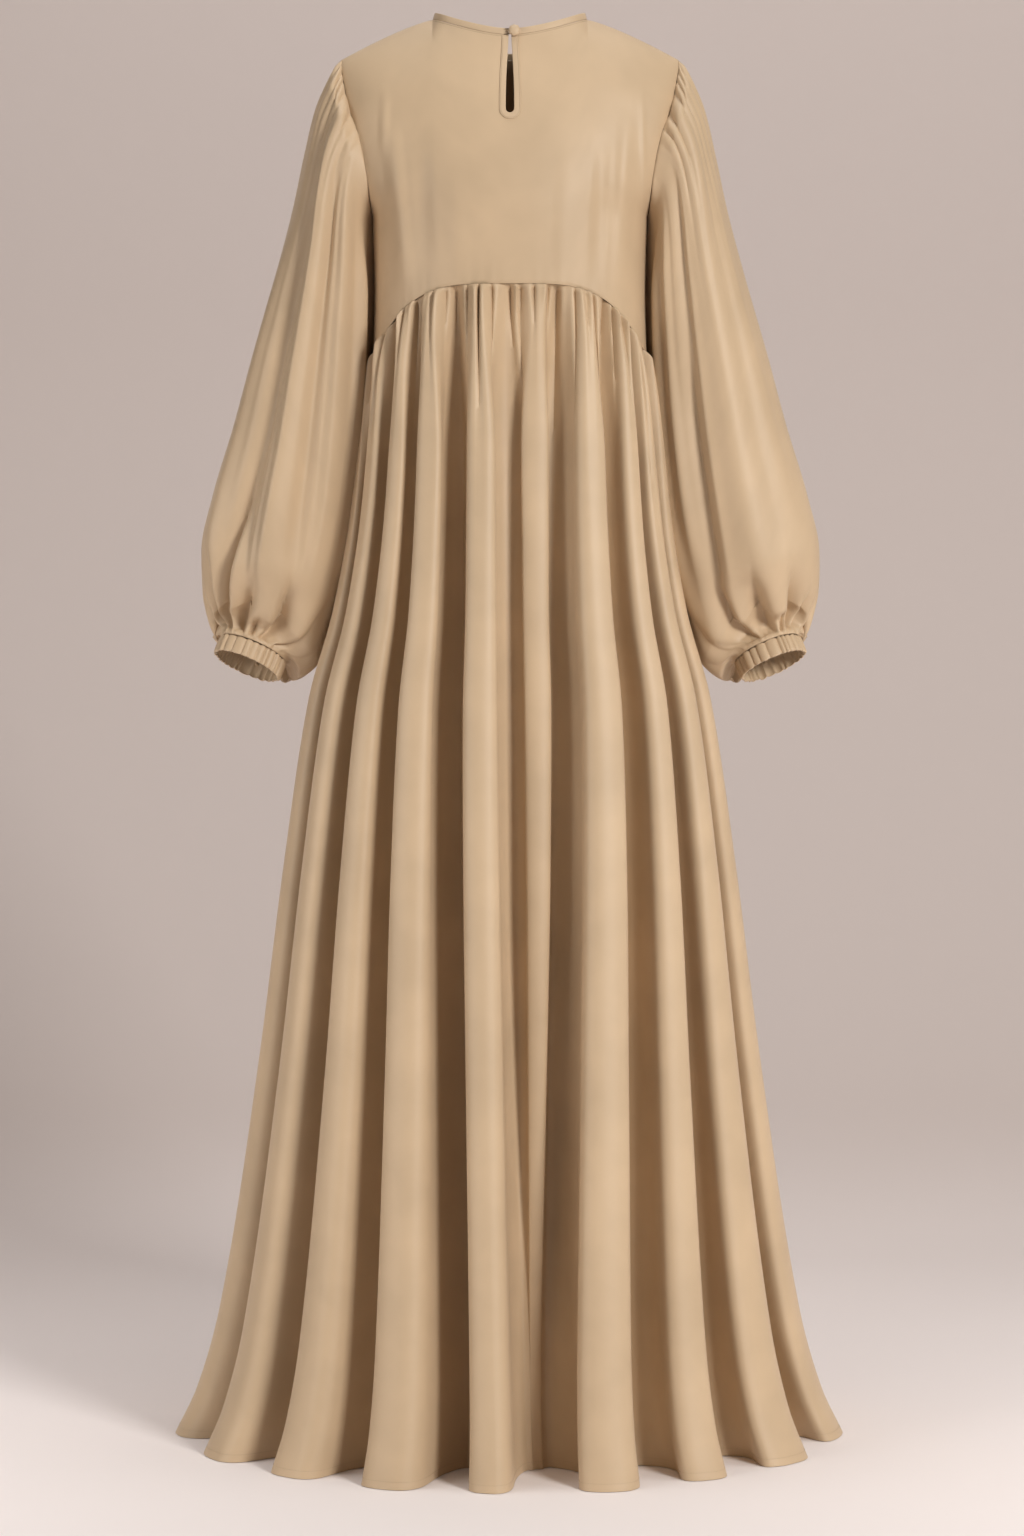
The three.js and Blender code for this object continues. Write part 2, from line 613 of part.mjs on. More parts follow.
function skirtPoint(face, column, index, down) {
  const { fold, next, share } = column;
  const seamAngle = radians(lerp(fold.seam, next.seam, share));
  const across = share + (foldFullness * Math.sin(2 * Math.PI * share)) / (2 * Math.PI);
  const hemAngle = radians(lerp(fold.hem, next.hem, across));
  const angle = lerp(seamAngle, hemAngle, down);
  const top = skirtTop(face, seamAngle);
  const z = lerp(top, hemLevel, down);
  const rise = 0.5 - 0.5 * Math.cos(Math.PI * (fold.height < next.height ? share : 1 - share));
  const low = Math.min(foldHeight(fold, down), foldHeight(next, down));
  const high = Math.max(foldHeight(fold, down), foldHeight(next, down));
  const height = lerp(low, high, rise ** crestBreadth);
  const growth = lerp(foldAtSeam, 1, down ** foldGrowth);
  const gather = (index % 2 ? 1 : -1) * gatherDepth * Math.exp((z - top) / gatherLength);
  const { point, out } = bodyOutline(face, angle, z);
  return point.addScaledVector(out, height * growth + gather);
}

// Level of the bodice's lower edge, which is straight between its columns.
function empireEdgeLevel(x) {
  const edge = [];
  for (let column = 0; column <= bodiceColumns; column += 1) {
    const across = bodiceColumnShare(column, 1) * empireHalfWidth;
    edge.push({ x: across, z: empireSeamLevel(across) });
  }
  return onLines(edge, "x", Math.abs(x), "z");
}

// Level of the skirt's upper edge, just under the bodice.
function skirtTop(face, seamAngle) {
  let level = empireLevel;
  for (let pass = 0; pass < 4; pass += 1) {
    level = empireEdgeLevel(bodyOutline(face, seamAngle, level).point.x);
  }
  return level - gatheredSeamGap;
}

function skirtPanel(face) {
  const columns = skirtColumns(face);
  const last = columns.length - 1;
  const grid = skirtRowShares.map((down) => columns.map((column, index) => {
    const point = skirtPoint(face, column, index, down);
    if (index === 0 || index === last) point.y = (faceSign[face] * seamGap) / 2;
    return point;
  }));
  const normals = gridNormals(grid, false, (r) => new THREE.Vector3(0, 0, grid[r][0].z));
  normals.forEach((row, r) => row.forEach((normal, c) => {
    if (c === 0 || c === last) normal.y = 0;
    if (r === 0 || r === skirtRowShares.length - 1) normal.z = 0;
    normal.normalize();
  }));
  return clothWall(grid, normals, wall).geometry;
}

// ---- Sleeves and cuffs, made for the left side and mirrored ----

const sleeveColumns = 2 * gathersPerSleeve;

// Directions of the cuff: across it to its outer edge, to its back, and down its axis.
const cuffAcross = new THREE.Vector3(Math.cos(cuffTurn), 0, Math.sin(cuffTurn));
const cuffBack = new THREE.Vector3(0, Math.cos(cuffPitch), Math.sin(cuffPitch));
const cuffDown = cuffBack.clone().cross(cuffAcross).normalize();

function cuffPoint(index, out, down) {
  const angle = (2 * Math.PI * index) / sleeveColumns;
  const rib = (index % 2 ? 1 : -1) * cuffRibDepth;
  return cuffSeamCentre.clone()
    .addScaledVector(cuffAcross, (cuffHalfWidth + out + rib) * Math.cos(angle))
    .addScaledVector(cuffBack, (cuffHalfDepth + out + rib) * Math.sin(angle))
    .addScaledVector(cuffDown, down);
}

// The armhole of the bodice as the sleeve's first ring: points and the ways out from them.
function armholeRing(panels) {
  const points = [];
  const normals = [];
  for (let index = 0; index < sleeveColumns; index += 1) {
    const row = index <= sleeveColumns / 2 ? index / 2 : (sleeveColumns - index) / 2;
    const panel = panels[index <= sleeveColumns / 2 ? "back" : "front"];
    const column = 2 * bodiceColumns;
    const blend = (grid) => grid[Math.floor(row)][column].clone().lerp(grid[Math.ceil(row)][column], row % 1);
    const point = blend(panel.outer);
    const normal = point.clone().sub(blend(panel.inner)).normalize();
    const low = THREE.MathUtils.smoothstep(row, armholeSteps * headTurnStart, armholeSteps);
    if (row === 0 || row === armholeSteps) point.y = 0;
    normal.lerp(new THREE.Vector3(0, normal.y * 0.5, -1), low).normalize();
    points.push(point.add(new THREE.Vector3(gatheredSeamGap, 0, gatheredSeamGap * low)));
    normals.push(normal);
  }
  return { points, normals };
}

function sleeveFoldHeight(angle, down) {
  const degrees = THREE.MathUtils.radToDeg(angle);
  const strength = Math.min(1, 3 * down) * Math.min(1, 4 * (1 - down));
  return strength * sleeveFolds.reduce((sum, fold) => {
    const away = ((degrees - lerp(fold.head, fold.end, down) + 540) % 360) - 180;
    return sum + fold.height * bump(away, fold.halfWidth);
  }, 0);
}

function sleeveRing(section, order) {
  const outer = new THREE.Vector3(section.outX, section.y, section.outZ);
  const inner = new THREE.Vector3(section.inX, section.y, section.inZ);
  const middle = outer.clone().add(inner).multiplyScalar(0.5);
  const across = outer.clone().sub(inner).multiplyScalar(0.5);
  const pitch = radians(section.pitch);
  const back = new THREE.Vector3(0, Math.cos(pitch), Math.sin(pitch));
  const ring = [];
  for (let index = 0; index < sleeveColumns; index += 1) {
    const angle = (2 * Math.PI * index) / sleeveColumns;
    const isHead = order < sleeveRows.length / 2;
    const gathered = isHead ? headGatherDepth * Math.max(0, Math.cos(angle)) : sleeveGatherDepth;
    const height = sleeveFoldHeight(angle, order / sleeveRows.length)
      + (index % 2 ? 1 : -1) * gathered * section.gather;
    const out = across.clone().setLength(Math.cos(angle)).addScaledVector(back, Math.sin(angle));
    ring.push(middle.clone()
      .addScaledVector(across, Math.cos(angle))
      .addScaledVector(back, section.depth * Math.sin(angle))
      .addScaledVector(out, height));
  }
  return ring;
}

const ringOf = (make) => Array.from({ length: sleeveColumns }, (unused, index) => make(index));
const mirrored = (geometry) => {
  const copy = geometry.clone().scale(-1, 1, 1);
  copy.setIndex([...copy.index.array].reverse());
  return copy;
};

function sleeveGeometry(panels) {
  const armhole = armholeRing(panels);
  const rings = [
    armhole.points,
    ...sleeveRows.map(sleeveRing),
    ringOf((index) => cuffPoint(index, sleeveOverCuff.out, -sleeveOverCuff.up)),
    ringOf((index) => cuffPoint(index, -wall, -seamGap)),
  ];
  const middles = rings.map((ring) =>
    ring.reduce((sum, point) => sum.add(point), new THREE.Vector3()).divideScalar(ring.length));
  const normals = gridNormals(rings, true, (r) => middles[r]);
  normals[0] = armhole.normals;
  normals[rings.length - 1] = ringOf(() => cuffDown.clone());
  return clothWall(rings, normals, wall, true).geometry;
}

function cuffGeometry() {
  const levels = Array.from({ length: cuffRows + 1 }, (unused, row) => (row * cuffHeight) / cuffRows);
  const rings = levels.map((level) => ringOf((index) => cuffPoint(index, 0, level)));
  const normals = gridNormals(rings, true, (r) =>
    cuffSeamCentre.clone().addScaledVector(cuffDown, levels[r]));
  normals.forEach((ring) => ring.forEach((normal) =>
    normal.addScaledVector(cuffDown, -normal.dot(cuffDown)).normalize()));
  return clothWall(rings, normals, cuffWall, true).geometry;
}

// ---- The garment ----

const bodice = { back: bodicePanel("back"), front: bodicePanel("front") };
const leftSleeve = sleeveGeometry(bodice);
const leftCuff = cuffGeometry();

const crepe = { color: 0xc9b8a0, roughness: 0.62, metalness: 0 };
const binding = { color: 0xc4b299, roughness: 0.55, metalness: 0 };
const covered = { color: 0xcdbca4, roughness: 0.45, metalness: 0 };
const cord = { color: 0x8c7a66, roughness: 0.6, metalness: 0 };

const pieces = [
  ["bodice_back", cutKeyhole(bodice.back.geometry), crepe],
  ["bodice_front", bodice.front.geometry, crepe],
  ["skirt_back", skirtPanel("back"), crepe],
  ["skirt_front", skirtPanel("front"), crepe],
  ["sleeve_left", leftSleeve, crepe],
  ["sleeve_right", mirrored(leftSleeve), crepe],
  ["cuff_left", leftCuff, crepe],
  ["cuff_right", mirrored(leftCuff), crepe],
  ["neck_binding", neckBinding(bodice), binding],
  ["keyhole_binding", keyholeBinding(), binding],
  ["button", buttonGeometry(), covered],
  ["button_loop", buttonLoop(), cord],
];

const group = new THREE.Group();
pieces.forEach(([name, geometry, finish]) => {
  const mesh = new THREE.Mesh(geometry, new THREE.MeshStandardMaterial(finish));
  mesh.name = name;
  group.add(mesh);
});

export default group;
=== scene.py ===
"""A long abaya with an empire seam, a gathered skirt and bishop sleeves, worn by nobody.

Every piece of cloth is a thin shell on the form of its solid. Sizes are in millimetres up to the
mesh, which is in metres. The back faces +Y, the front -Y, and the wearer's left is +X.
"""

import math

import bmesh
import bpy
import numpy as np
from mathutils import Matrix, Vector


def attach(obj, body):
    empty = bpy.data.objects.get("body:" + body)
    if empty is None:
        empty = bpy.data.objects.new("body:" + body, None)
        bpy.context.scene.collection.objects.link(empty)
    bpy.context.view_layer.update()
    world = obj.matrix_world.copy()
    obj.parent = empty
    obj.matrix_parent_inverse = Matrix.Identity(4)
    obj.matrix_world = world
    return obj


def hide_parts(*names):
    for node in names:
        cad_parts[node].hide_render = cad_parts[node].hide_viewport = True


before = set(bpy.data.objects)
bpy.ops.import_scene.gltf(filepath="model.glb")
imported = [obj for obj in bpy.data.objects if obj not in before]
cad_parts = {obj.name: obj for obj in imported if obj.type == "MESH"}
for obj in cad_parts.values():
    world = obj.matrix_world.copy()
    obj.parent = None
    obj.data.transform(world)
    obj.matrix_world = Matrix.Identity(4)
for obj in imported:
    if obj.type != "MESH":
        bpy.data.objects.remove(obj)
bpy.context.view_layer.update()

bl_info = {
    "name": "Empire Seam Abaya",
    "version": (1, 0, 0),
    "blender": (4, 5, 0),
    "location": "3D View > Sidebar > Abaya",
    "description": "Makes a long abaya with a gathered skirt, bishop sleeves and a back neck keyhole",
    "category": "Add Mesh",
}

MM = 0.001
FACE = {"back": 1.0, "front": -1.0}

# ---- Sizes of the cut ----

HEM = -1550.0
SEAM_GAP = 0.3
SHARP_ANGLE = math.radians(62)
NECK_HALF = 84.0
NECK_DROP = {"back": 20.0, "front": 38.0}
NECK_CURVE = {"back": 1.6, "front": 2.0}
NAPE_RISE = 60.0
SHOULDER_HALF = 183.0
SHOULDER_DROP, SHOULDER_CURVE = 43.0, 1.25
SHOULDER_ROUNDING = 80.0
NECK_POINT_ROUNDING, NECK_POINT_REACH = 16.0, 30.0
UNDERARM = -215.0
EMPIRE = -287.5
EMPIRE_ARCH = 79.5
EMPIRE_HALF = 150.0
NECK_COLUMNS, SHOULDER_COLUMNS = 6, 8
BODICE_COLUMNS = NECK_COLUMNS + SHOULDER_COLUMNS
ARMHOLE_ROWS, SIDE_ROWS = 9, 3
BODICE_ROWS = ARMHOLE_ROWS + SIDE_ROWS
CUFF_HALF_WIDTH, CUFF_HALF_DEPTH, CUFF_HEIGHT = 38.0, 33.0, 21.0
CUFF_WALL = 1.6
CUFF_TURN, CUFF_PITCH = math.radians(21.5), math.radians(23)
CUFF_CENTRE = np.array((283.0, -8.0, -686.0))
BAND_HEIGHT, BAND_WALL, BAND_LEAN, BAND_OPENING = 7.7, 1.8, math.radians(14), 3.0
KEYHOLE_BOTTOM, KEYHOLE_HALF, KEYHOLE_TOP_HALF = -105.0, 4.5, 1.5
KEYHOLE_TOP_INSET, KEYHOLE_TOP_BEND, KEYHOLE_SIDE_BEND = 1.5, (1.0, 25.0), 40.0
BINDING_WIDTH, BINDING_WALL, BINDING_EDGE, BINDING_STITCHES = 7.0, 1.0, 0.25, 0.82
NECK_STITCH_DROP, NECK_STITCH_START = 1.6, 9
BUTTON_RADIUS, BUTTON_X, BUTTON_Z, BUTTON_INSET = 6.5, -4.8, -16.5, 0.5
BUTTON_TILT = math.radians(20)
SHANK_LENGTH, SHANK_RADIUS, LOOP_RADIUS, LOOP_GAP, LOOP_REACH = 2.3, 1.6, 0.7, 0.5, 10.0


def table(columns, *rows):
    """A table with named columns."""
    return dict(zip(columns.split(), np.array(rows, float).T))


BODY = table(
    "level side back front square",
    (-1550, 327, 269, 262, 2.05), (-1500, 304, 260, 254, 2.05), (-1412, 281, 246, 242, 2.06),
    (-1136, 243, 207, 206, 2.1), (-915, 220, 177, 180, 2.15), (-739, 198, 153, 158, 2.2),
    (-640, 174, 140, 146, 2.25), (-540, 160, 127, 134, 2.3), (-450, 154, 116, 124, 2.3),
    (-367, 150, 107, 118, 2.3), (-300, 148, 105, 118, 2.3), (-215, 150, 106, 120, 2.3),
    (-175, 172, 102, 117, 2.3), (-127, 186, 91, 108, 2.3), (-80, 189, 75, 93, 2.3),
    (-54, 190, 64, 84, 2.3), (-20, 191, 50, 68, 2.3), (0, 192, 42, 55, 2.3),
)
BODICE_EDGE = table(
    "level x",
    (-367, 150), (-300, 148), (-215, 150), (-190, 152), (-163, 155.5), (-127, 163), (-97, 174), (-54, 183),
)
BODICE_SHARES = table(
    "row share",
    (0, 0), (1, 0.018), (2, 0.07), (3, 0.14), (4, 0.22), (5, 0.31), (6, 0.4), (7, 0.48), (8, 0.56),
    (9, 0.64), (10, 0.76), (11, 0.88), (12, 1),
)
# Soft upright folds of the bodice: where each starts and ends, its half width and its height.
BODICE_FOLDS = {
    "back": [
        (128, -110, 112, -306, 15, 5), (96, -120, 90, -298, 16, -2.6), (-126, -100, -118, -306, 14, 5),
        (-100, -125, -92, -298, 13, -3.5), (134, -72, 137, -160, 8, 1.8), (-141, -66, -146, -214, 5, 1.5),
        (60, -150, 52, -330, 16, 0.9), (-62, -140, -54, -330, 16, 1.1),
    ],
    "front": [
        (118, -110, 100, -296, 15, 4), (-120, -105, -104, -298, 15, 4), (132, -72, 136, -165, 8, 1.6),
        (-134, -72, -138, -170, 8, 1.6), (58, -150, 48, -330, 16, 1.0), (-55, -145, -50, -330, 16, 1.0),
    ],
}
# Crests and troughs of the skirt from the left side seam to the right one: the angle of each at
# the empire seam and at the hem, how far it stands out at the hem, what that would be from its
# upper part if it dies away, and how many half gathers lie between it and the next.
SKIRT_FOLDS = {
    "back": table(
        "seam hem height upper half_gathers",
        (90, 90, -16, -16, 4), (80, 83, 46, 46, 4), (71, 70, -44, -44, 4), (62, 58, 48, 48, 3),
        (54, 48, -44, -44, 3), (46, 38, 50, 50, 3), (38.5, 28.5, -42, -42, 3), (31.4, 18.8, 56, 56, 4),
        (20, 9, -60, -60, 4), (10.3, 2.2, 56, 56, 4), (1, -3.6, -50, -50, 4), (-8.4, -5.8, -54, -8, 4),
        (-18, -8, -62, -62, 4), (-29.7, -17.5, 60, 60, 4), (-41, -27.5, -46, -46, 4),
        (-50.8, -36, 48, 48, 3), (-57.5, -45, -44, -44, 3), (-63.8, -57, 48, 48, 3),
        (-72, -70, -40, -40, 3), (-80, -83, 44, 44, 4), (-90, -90, -16, -16, 0),
    ),
    "front": table(
        "seam hem height upper half_gathers",
        (90, 90, -16, -16, 4), (81, 76, 40, 40, 3), (73, 67, -42, -42, 4), (64, 56, 46, 46, 4),
        (55, 45, -46, -46, 4), (45.5, 35, 50, 50, 4), (36, 26, -48, -48, 3), (27, 17, 55, 55, 4),
        (17.5, 8.5, -52, -52, 4), (8, 0.5, 50, 50, 4), (-1.5, -7, -44, -44, 3), (-11, -15, 54, 54, 4),
        (-21, -24, -50, -50, 4), (-30.5, -33, 50, 50, 4), (-40, -42.5, -48, -48, 3),
        (-49.5, -51.5, 46, 46, 3), (-58, -60, -42, -42, 3), (-66, -67.5, 40, 40, 3),
        (-73.5, -74, -30, -30, 3), (-81.5, -78, 36, 36, 4), (-90, -90, -16, -16, 0),
    ),
}
SKIRT_SEED = {"back": 11, "front": 23}
# How far the sides of a crest swing under it: its left and right side near the seam, and at the hem.
FULLNESS_ABOVE, FULLNESS_BELOW = (1.0, 2.0), (2.3, 0.7)
SKIRT_LENGTH = 1256.0
UNDERARM_TUCK, UNDERARM_TUCK_ANGLE = 20.0, -140.0
# Sections of a sleeve between the armhole and the cuff: its outer and inner edge, half its
# depth, the level of its middle along Y, and its pitch in degrees.
SLEEVE = table(
    "out_x out_z in_x in_z depth y pitch",
    (197, -66, 153, -222, 61, 0, 0), (211, -97, 156, -237, 62, 0, 0), (224, -147, 157, -266, 62, -1, 0),
    (238, -209, 157, -309, 61, -2, 0), (258, -282, 158, -364, 62, -3, 0), (281, -360, 160, -425, 64, -4, 1),
    (303, -440, 166, -492, 67, -5, 2), (326, -515, 174, -556, 70, -6, 4), (340, -578, 185, -618, 72, -7, 10),
    (341, -622, 196, -664, 66, -8, 20), (334, -654, 211, -700, 55, -8, 30),
    (325, -669, 231, -711, 46, -11, 40),
)
# The sleeve's last two sections: how far out from the cuff's oval and how far down from its edge.
SLEEVE_OVER_CUFF, SLEEVE_AT_CUFF = (3.0, -3.0), (-0.6, -SEAM_GAP)
# Long folds of a sleeve: angle round it at the head and at the cuff (0 is its outer edge, 90 its
# back), half width in degrees before and after that angle, height, and where along the sleeve it
# starts and ends.
SLEEVE_FOLDS = {
    "left": [
        (50, 76, 22, 7, -9, 0.0, 0.92), (65, 89, 6, 24, 8, 0.0, 0.92), (85, 120, 14, 8, -7, 0.0, 0.88),
        (102, 136, 7, 26, 6, 0.02, 0.85), (148, 163, 18, 9, 8, 0.06, 0.95), (22, 30, 18, 14, 3.5, 0.22, 0.95),
        (-56, -66, 18, 14, -8, 0.0, 0.92), (-78, -92, 10, 28, 10, 0.0, 0.92),
        (-110, -124, 16, 14, -8, 0.02, 0.85), (-134, -150, 12, 20, 6, 0.08, 0.9),
        (-26, -30, 18, 14, 3.5, 0.2, 0.95),
    ],
    "right": [
        (40, 50, 18, 18, 3, 0.1, 0.8), (66, 92, 24, 20, 6, 0.0, 0.95), (99, 122, 8, 18, -7, 0.0, 0.95),
        (106, 126, 7, 20, -8, 0.35, 1.0), (128, 142, 8, 12, 5, 0.04, 0.85), (150, 162, 18, 9, 8, 0.06, 0.95),
        (-52, -64, 14, 18, -8, 0.0, 0.92), (-76, -96, 28, 10, 10, 0.0, 0.92),
        (-108, -128, 14, 16, -8, 0.02, 0.85), (-136, -150, 12, 20, 6, 0.08, 0.9),
        (-24, -34, 18, 14, 3.5, 0.2, 0.95),
    ],
}
# Valleys that leave a cuff between the blouse's puffs: angle at the cuff and further up, half width
# in degrees before and after that angle, depth and how far up it lasts.
BLOUSE_VALLEYS = {
    "left": [
        (6, 2, 7, 5, 9, 60), (27, 24, 16, 4, 13, 95), (46, 60, 18, 4, 17, 190), (69, 79, 15, 5, 17, 72),
        (86, 90, 4, 6, 6, 30), (104, 112, 4, 17, 17, 80), (128, 156, 4, 20, 12, 105),
        (148, 168, 5, 12, 5, 55), (170, 186, 8, 8, 4, 50), (-24, -20, 12, 5, 13, 80),
        (-50, -62, 5, 16, 15, 110), (-76, -80, 14, 5, 14, 70), (-104, -114, 16, 5, 16, 90),
        (-132, -148, 18, 5, 14, 80), (-158, -164, 8, 8, 4, 50),
    ],
    "right": [
        (8, 4, 7, 5, 9, 60), (32, 26, 12, 5, 10, 55), (50, 55, 20, 5, 16, 78), (64, 62, 5, 5, 6, 30),
        (79, 92, 6, 22, 18, 88), (108, 128, 5, 22, 16, 100), (124, 150, 5, 12, 6, 50),
        (138, 162, 5, 14, 9, 90), (162, 180, 8, 10, 4, 55), (-22, -18, 12, 5, 13, 70),
        (-46, -58, 5, 16, 15, 100), (-72, -78, 14, 5, 14, 80), (-100, -108, 16, 5, 16, 95),
        (-128, -146, 18, 5, 14, 70), (-160, -168, 8, 8, 4, 60),
    ],
}
# What each of those depths is multiplied by.
VALLEY_DEPTH = 1.75
SLEEVE_SEED = {"left": 5, "right": 17}
# Steps of the covered button from its back to its crown: how far inside its radius, and how high.
BUTTON_PROFILE = (
    (1.2, 0.0), (0.35, 0.35), (0.0, 1.3), (0.2, 2.4), (0.9, 3.5), (2.1, 4.45), (3.7, 5.05), (6.5, 5.35),
)

# ---- Studio, in metres ----

FLOOR_REACH, FLOOR_DROP, SWEEP_LIFT = 40.0, 0.0006, 0.0004
SWEEP_HALF_WIDTH, SWEEP_START, SWEEP_BEND, SWEEP_HEIGHT = 9.0, -1.0, 1.3, 7.0
# Where the sweep's painted shade starts at the floor tone and where it reaches the darker wall tone.
SWEEP_SHADE_FADE = (0.0, 2.4)
# Lamps: where each stands, what it points at, its size, its power and its colour.
LAMPS = {
    "key": ((-2.8, 3.9, 1.2), (0, 0, -0.78), 1.2, 196, (1.0, 0.98, 0.95)),
    "fill": ((3.4, 2.8, 0.2), (0, 0, -0.8), 1.6, 44, (1.0, 0.98, 0.96)),
    "top": ((0, 0.3, 2.9), (0, 0, -0.5), 2.0, 18, (1.0, 0.98, 0.95)),
    "front_fill": ((1.2, -4.2, 0.8), (0, 0, -0.7), 1.6, 130, (1.0, 0.98, 0.96)),
    "wall_wash": ((0, -0.6, 2.6), (0, -2.6, -1.0), 2.6, 42, (1.0, 0.98, 0.97)),
    "floor_wash_left": ((1.4, 0.4, -0.5), (1.2, 0.3, -1.55), 0.8, 7, (1.0, 0.98, 0.97)),
    "floor_wash_right": ((-1.4, 0.4, -0.5), (-1.2, 0.3, -1.55), 0.8, 6, (1.0, 0.98, 0.97)),
}
AIR_COLOUR, AIR_STRENGTH = (0.8, 0.67, 0.52, 1), 0.06
CAMERA_PLACE, CAMERA_DIP, CAMERA_LENS = (-0.0022, 5.0, -0.419), 4.54, 106.7


# ---- Interpolation ----

def smooth(rows, key, at, column):
    """A smooth curve through a table's rows that never swings past them."""
    x, y = rows[key], rows[column]
    at = np.clip(at, x[0], x[-1])
    row = np.clip(np.searchsorted(x, at, "right") - 1, 0, len(x) - 2)
    span = np.diff(x)
    leave, arrive = (span[row] * tangent for tangent in tangents(x, y, row))
    return hermite(y[row], y[row + 1], leave, arrive, (at - x[row]) / span[row])


def tangents(x, y, row):
    """Slopes at both ends of each span, which keep the curve from swinging past its points."""
    slope = np.diff(y, axis=0) / np.diff(x).reshape((-1,) + (1,) * (y.ndim - 1))
    before, after = slope[:-1], slope[1:]
    total = np.where(np.abs(before + after) < 1e-9, 1.0, before + after)
    inner = np.where(before * after > 0, 2 * before * after / total, 0.0)
    tangent = np.concatenate((slope[:1], inner, slope[-1:]))
    return tangent[row], tangent[row + 1]


def hermite(start, end, leave, arrive, t):
    """The cubic from start to end that leaves and arrives with the given slopes."""
    return (
        (2 * t**3 - 3 * t**2 + 1) * start + (t**3 - 2 * t**2 + t) * leave
        + (3 * t**2 - 2 * t**3) * end + (t**3 - t**2) * arrive
    )


def blend(t, start, end):
    """0 before start, 1 after end and smooth between."""
    t = np.clip((t - start) / (end - start), 0, 1)
    return t * t * (3 - 2 * t)


def mix(a, b, t):
    """The value a share t of the way from a to b."""
    return a + (b - a) * t


def bump(distance, half_width):
    """A round bump of height 1 that is 0 outside its half width."""
    return np.where(np.abs(distance) < half_width, 0.5 + 0.5 * np.cos(np.pi * distance / half_width), 0.0)


def spaced(count, length, *finer):
    """Shares of a length, closer together near each (place, reach, how much closer)."""
    t = np.linspace(0, length, 4000)
    density = 1 + sum(gain * np.exp(-np.abs(t - place) / reach) for place, reach, gain in finer)
    total = np.concatenate(([0], np.cumsum((density[1:] + density[:-1]) / 2)))
    return np.interp(np.linspace(0, total[-1], count), total, t) / length


# ---- Meshes ----

def grid_normals(points, inside, closed=False):
    """Unit normals of a grid of points, away from the points inside, and the grid's turn."""
    if closed:
        across = np.roll(points, -1, 1) - np.roll(points, 1, 1)
    else:
        across = np.gradient(points, axis=1)
    normals = np.cross(across, np.gradient(points, axis=0))
    normals /= np.maximum(np.linalg.norm(normals, axis=2, keepdims=True), 1e-9)
    turn = 1.0 if np.sum(normals * (points - inside)) > 0 else -1.0
    return normals * turn, turn


def make_mesh(name, points, faces, uvs=None):
    """A smooth mesh in metres from points in millimetres, with sharp rims."""
    mesh = bpy.data.meshes.new(name)
    mesh.from_pydata((np.asarray(points) * MM).tolist(), [], [tuple(face) for face in faces])
    if uvs is not None:
        layer = mesh.uv_layers.new(name="Cloth")
        layer.data.foreach_set("uv", np.asarray(uvs, np.float32).ravel())
    mesh.polygons.foreach_set("use_smooth", [True] * len(mesh.polygons))
    mesh.update()
    mesh.set_sharp_from_angle(angle=SHARP_ANGLE)
    return mesh


def shell(name, outer, thickness, inside, closed=False, normals=None):
    """A closed thin wall between a grid of outer points and the same points moved in."""
    found, turn = grid_normals(outer, inside, closed)
    normals = found if normals is None else normals(found)
    inner = outer - normals * thickness
    rows, columns = outer.shape[:2]
    skin, wide = rows * columns, columns + closed

    def corners(row, column, side):
        row, column = np.broadcast_arrays(row, column)
        vertex = side * skin + row * columns + column % columns
        return np.stack((vertex, row * wide + column), axis=-1).reshape(-1, 2)

    def quads(*four):
        return np.stack([corners(*corner) for corner in four], axis=1)

    r = np.arange(rows - 1)[:, None]
    c = np.arange(wide - 1)[None, :]
    last = rows - 1
    top, bottom = np.zeros_like(c), np.full_like(c, last)
    parts = [
        quads((r, c, 0), (r, c + 1, 0), (r + 1, c + 1, 0), (r + 1, c, 0)),
        quads((r, c, 1), (r + 1, c, 1), (r + 1, c + 1, 1), (r, c + 1, 1)),
        quads((top, c, 0), (top, c, 1), (top, c + 1, 1), (top, c + 1, 0)),
        quads((bottom, c, 0), (bottom, c + 1, 0), (bottom, c + 1, 1), (bottom, c, 1)),
    ]
    if not closed:
        end = columns - 1
        first, final = np.zeros_like(r), np.full_like(r, end)
        parts.append(quads((r, first, 0), (r + 1, first, 0), (r + 1, first, 1), (r, first, 1)))
        parts.append(quads((r, final, 0), (r, final, 1), (r + 1, final, 1), (r + 1, final, 0)))
    faces = np.concatenate(parts)
    if turn < 0:
        faces = faces[:, ::-1]
    ring = np.concatenate((outer, outer[:, :1]), axis=1) if closed else outer
    steps = np.linalg.norm(np.diff(ring, axis=1), axis=2)
    u = np.concatenate((np.zeros((rows, 1)), np.cumsum(steps, axis=1)), axis=1)
    u -= u[:, wide // 2][:, None]
    drops = np.linalg.norm(np.diff(ring, axis=0), axis=2)
    v = np.concatenate((np.zeros((1, wide)), np.cumsum(drops, axis=0)), axis=0)
    uv = np.stack((u, -v), axis=-1).reshape(-1, 2) * MM
    points = np.concatenate((outer.reshape(-1, 3), inner.reshape(-1, 3)))
    return make_mesh(name, points, faces[:, :, 0], uv[faces[:, :, 1].ravel()])


def place(name, mesh, material, slot, *nodes):
    """A finished piece on the garment's body, standing for its solids."""
    mesh.materials.clear()
    mesh.materials.append(bpy.data.materials[material])
    piece = bpy.data.objects.new(name, mesh)
    bpy.context.scene.collection.objects.link(piece)
    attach(piece, "root")
    if nodes:
        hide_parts(*nodes)
    return piece


# ---- Forms shared by the pieces ----

def body(level, column):
    """A measure of the body's form at a level."""
    return smooth(BODY, "level", level, column)


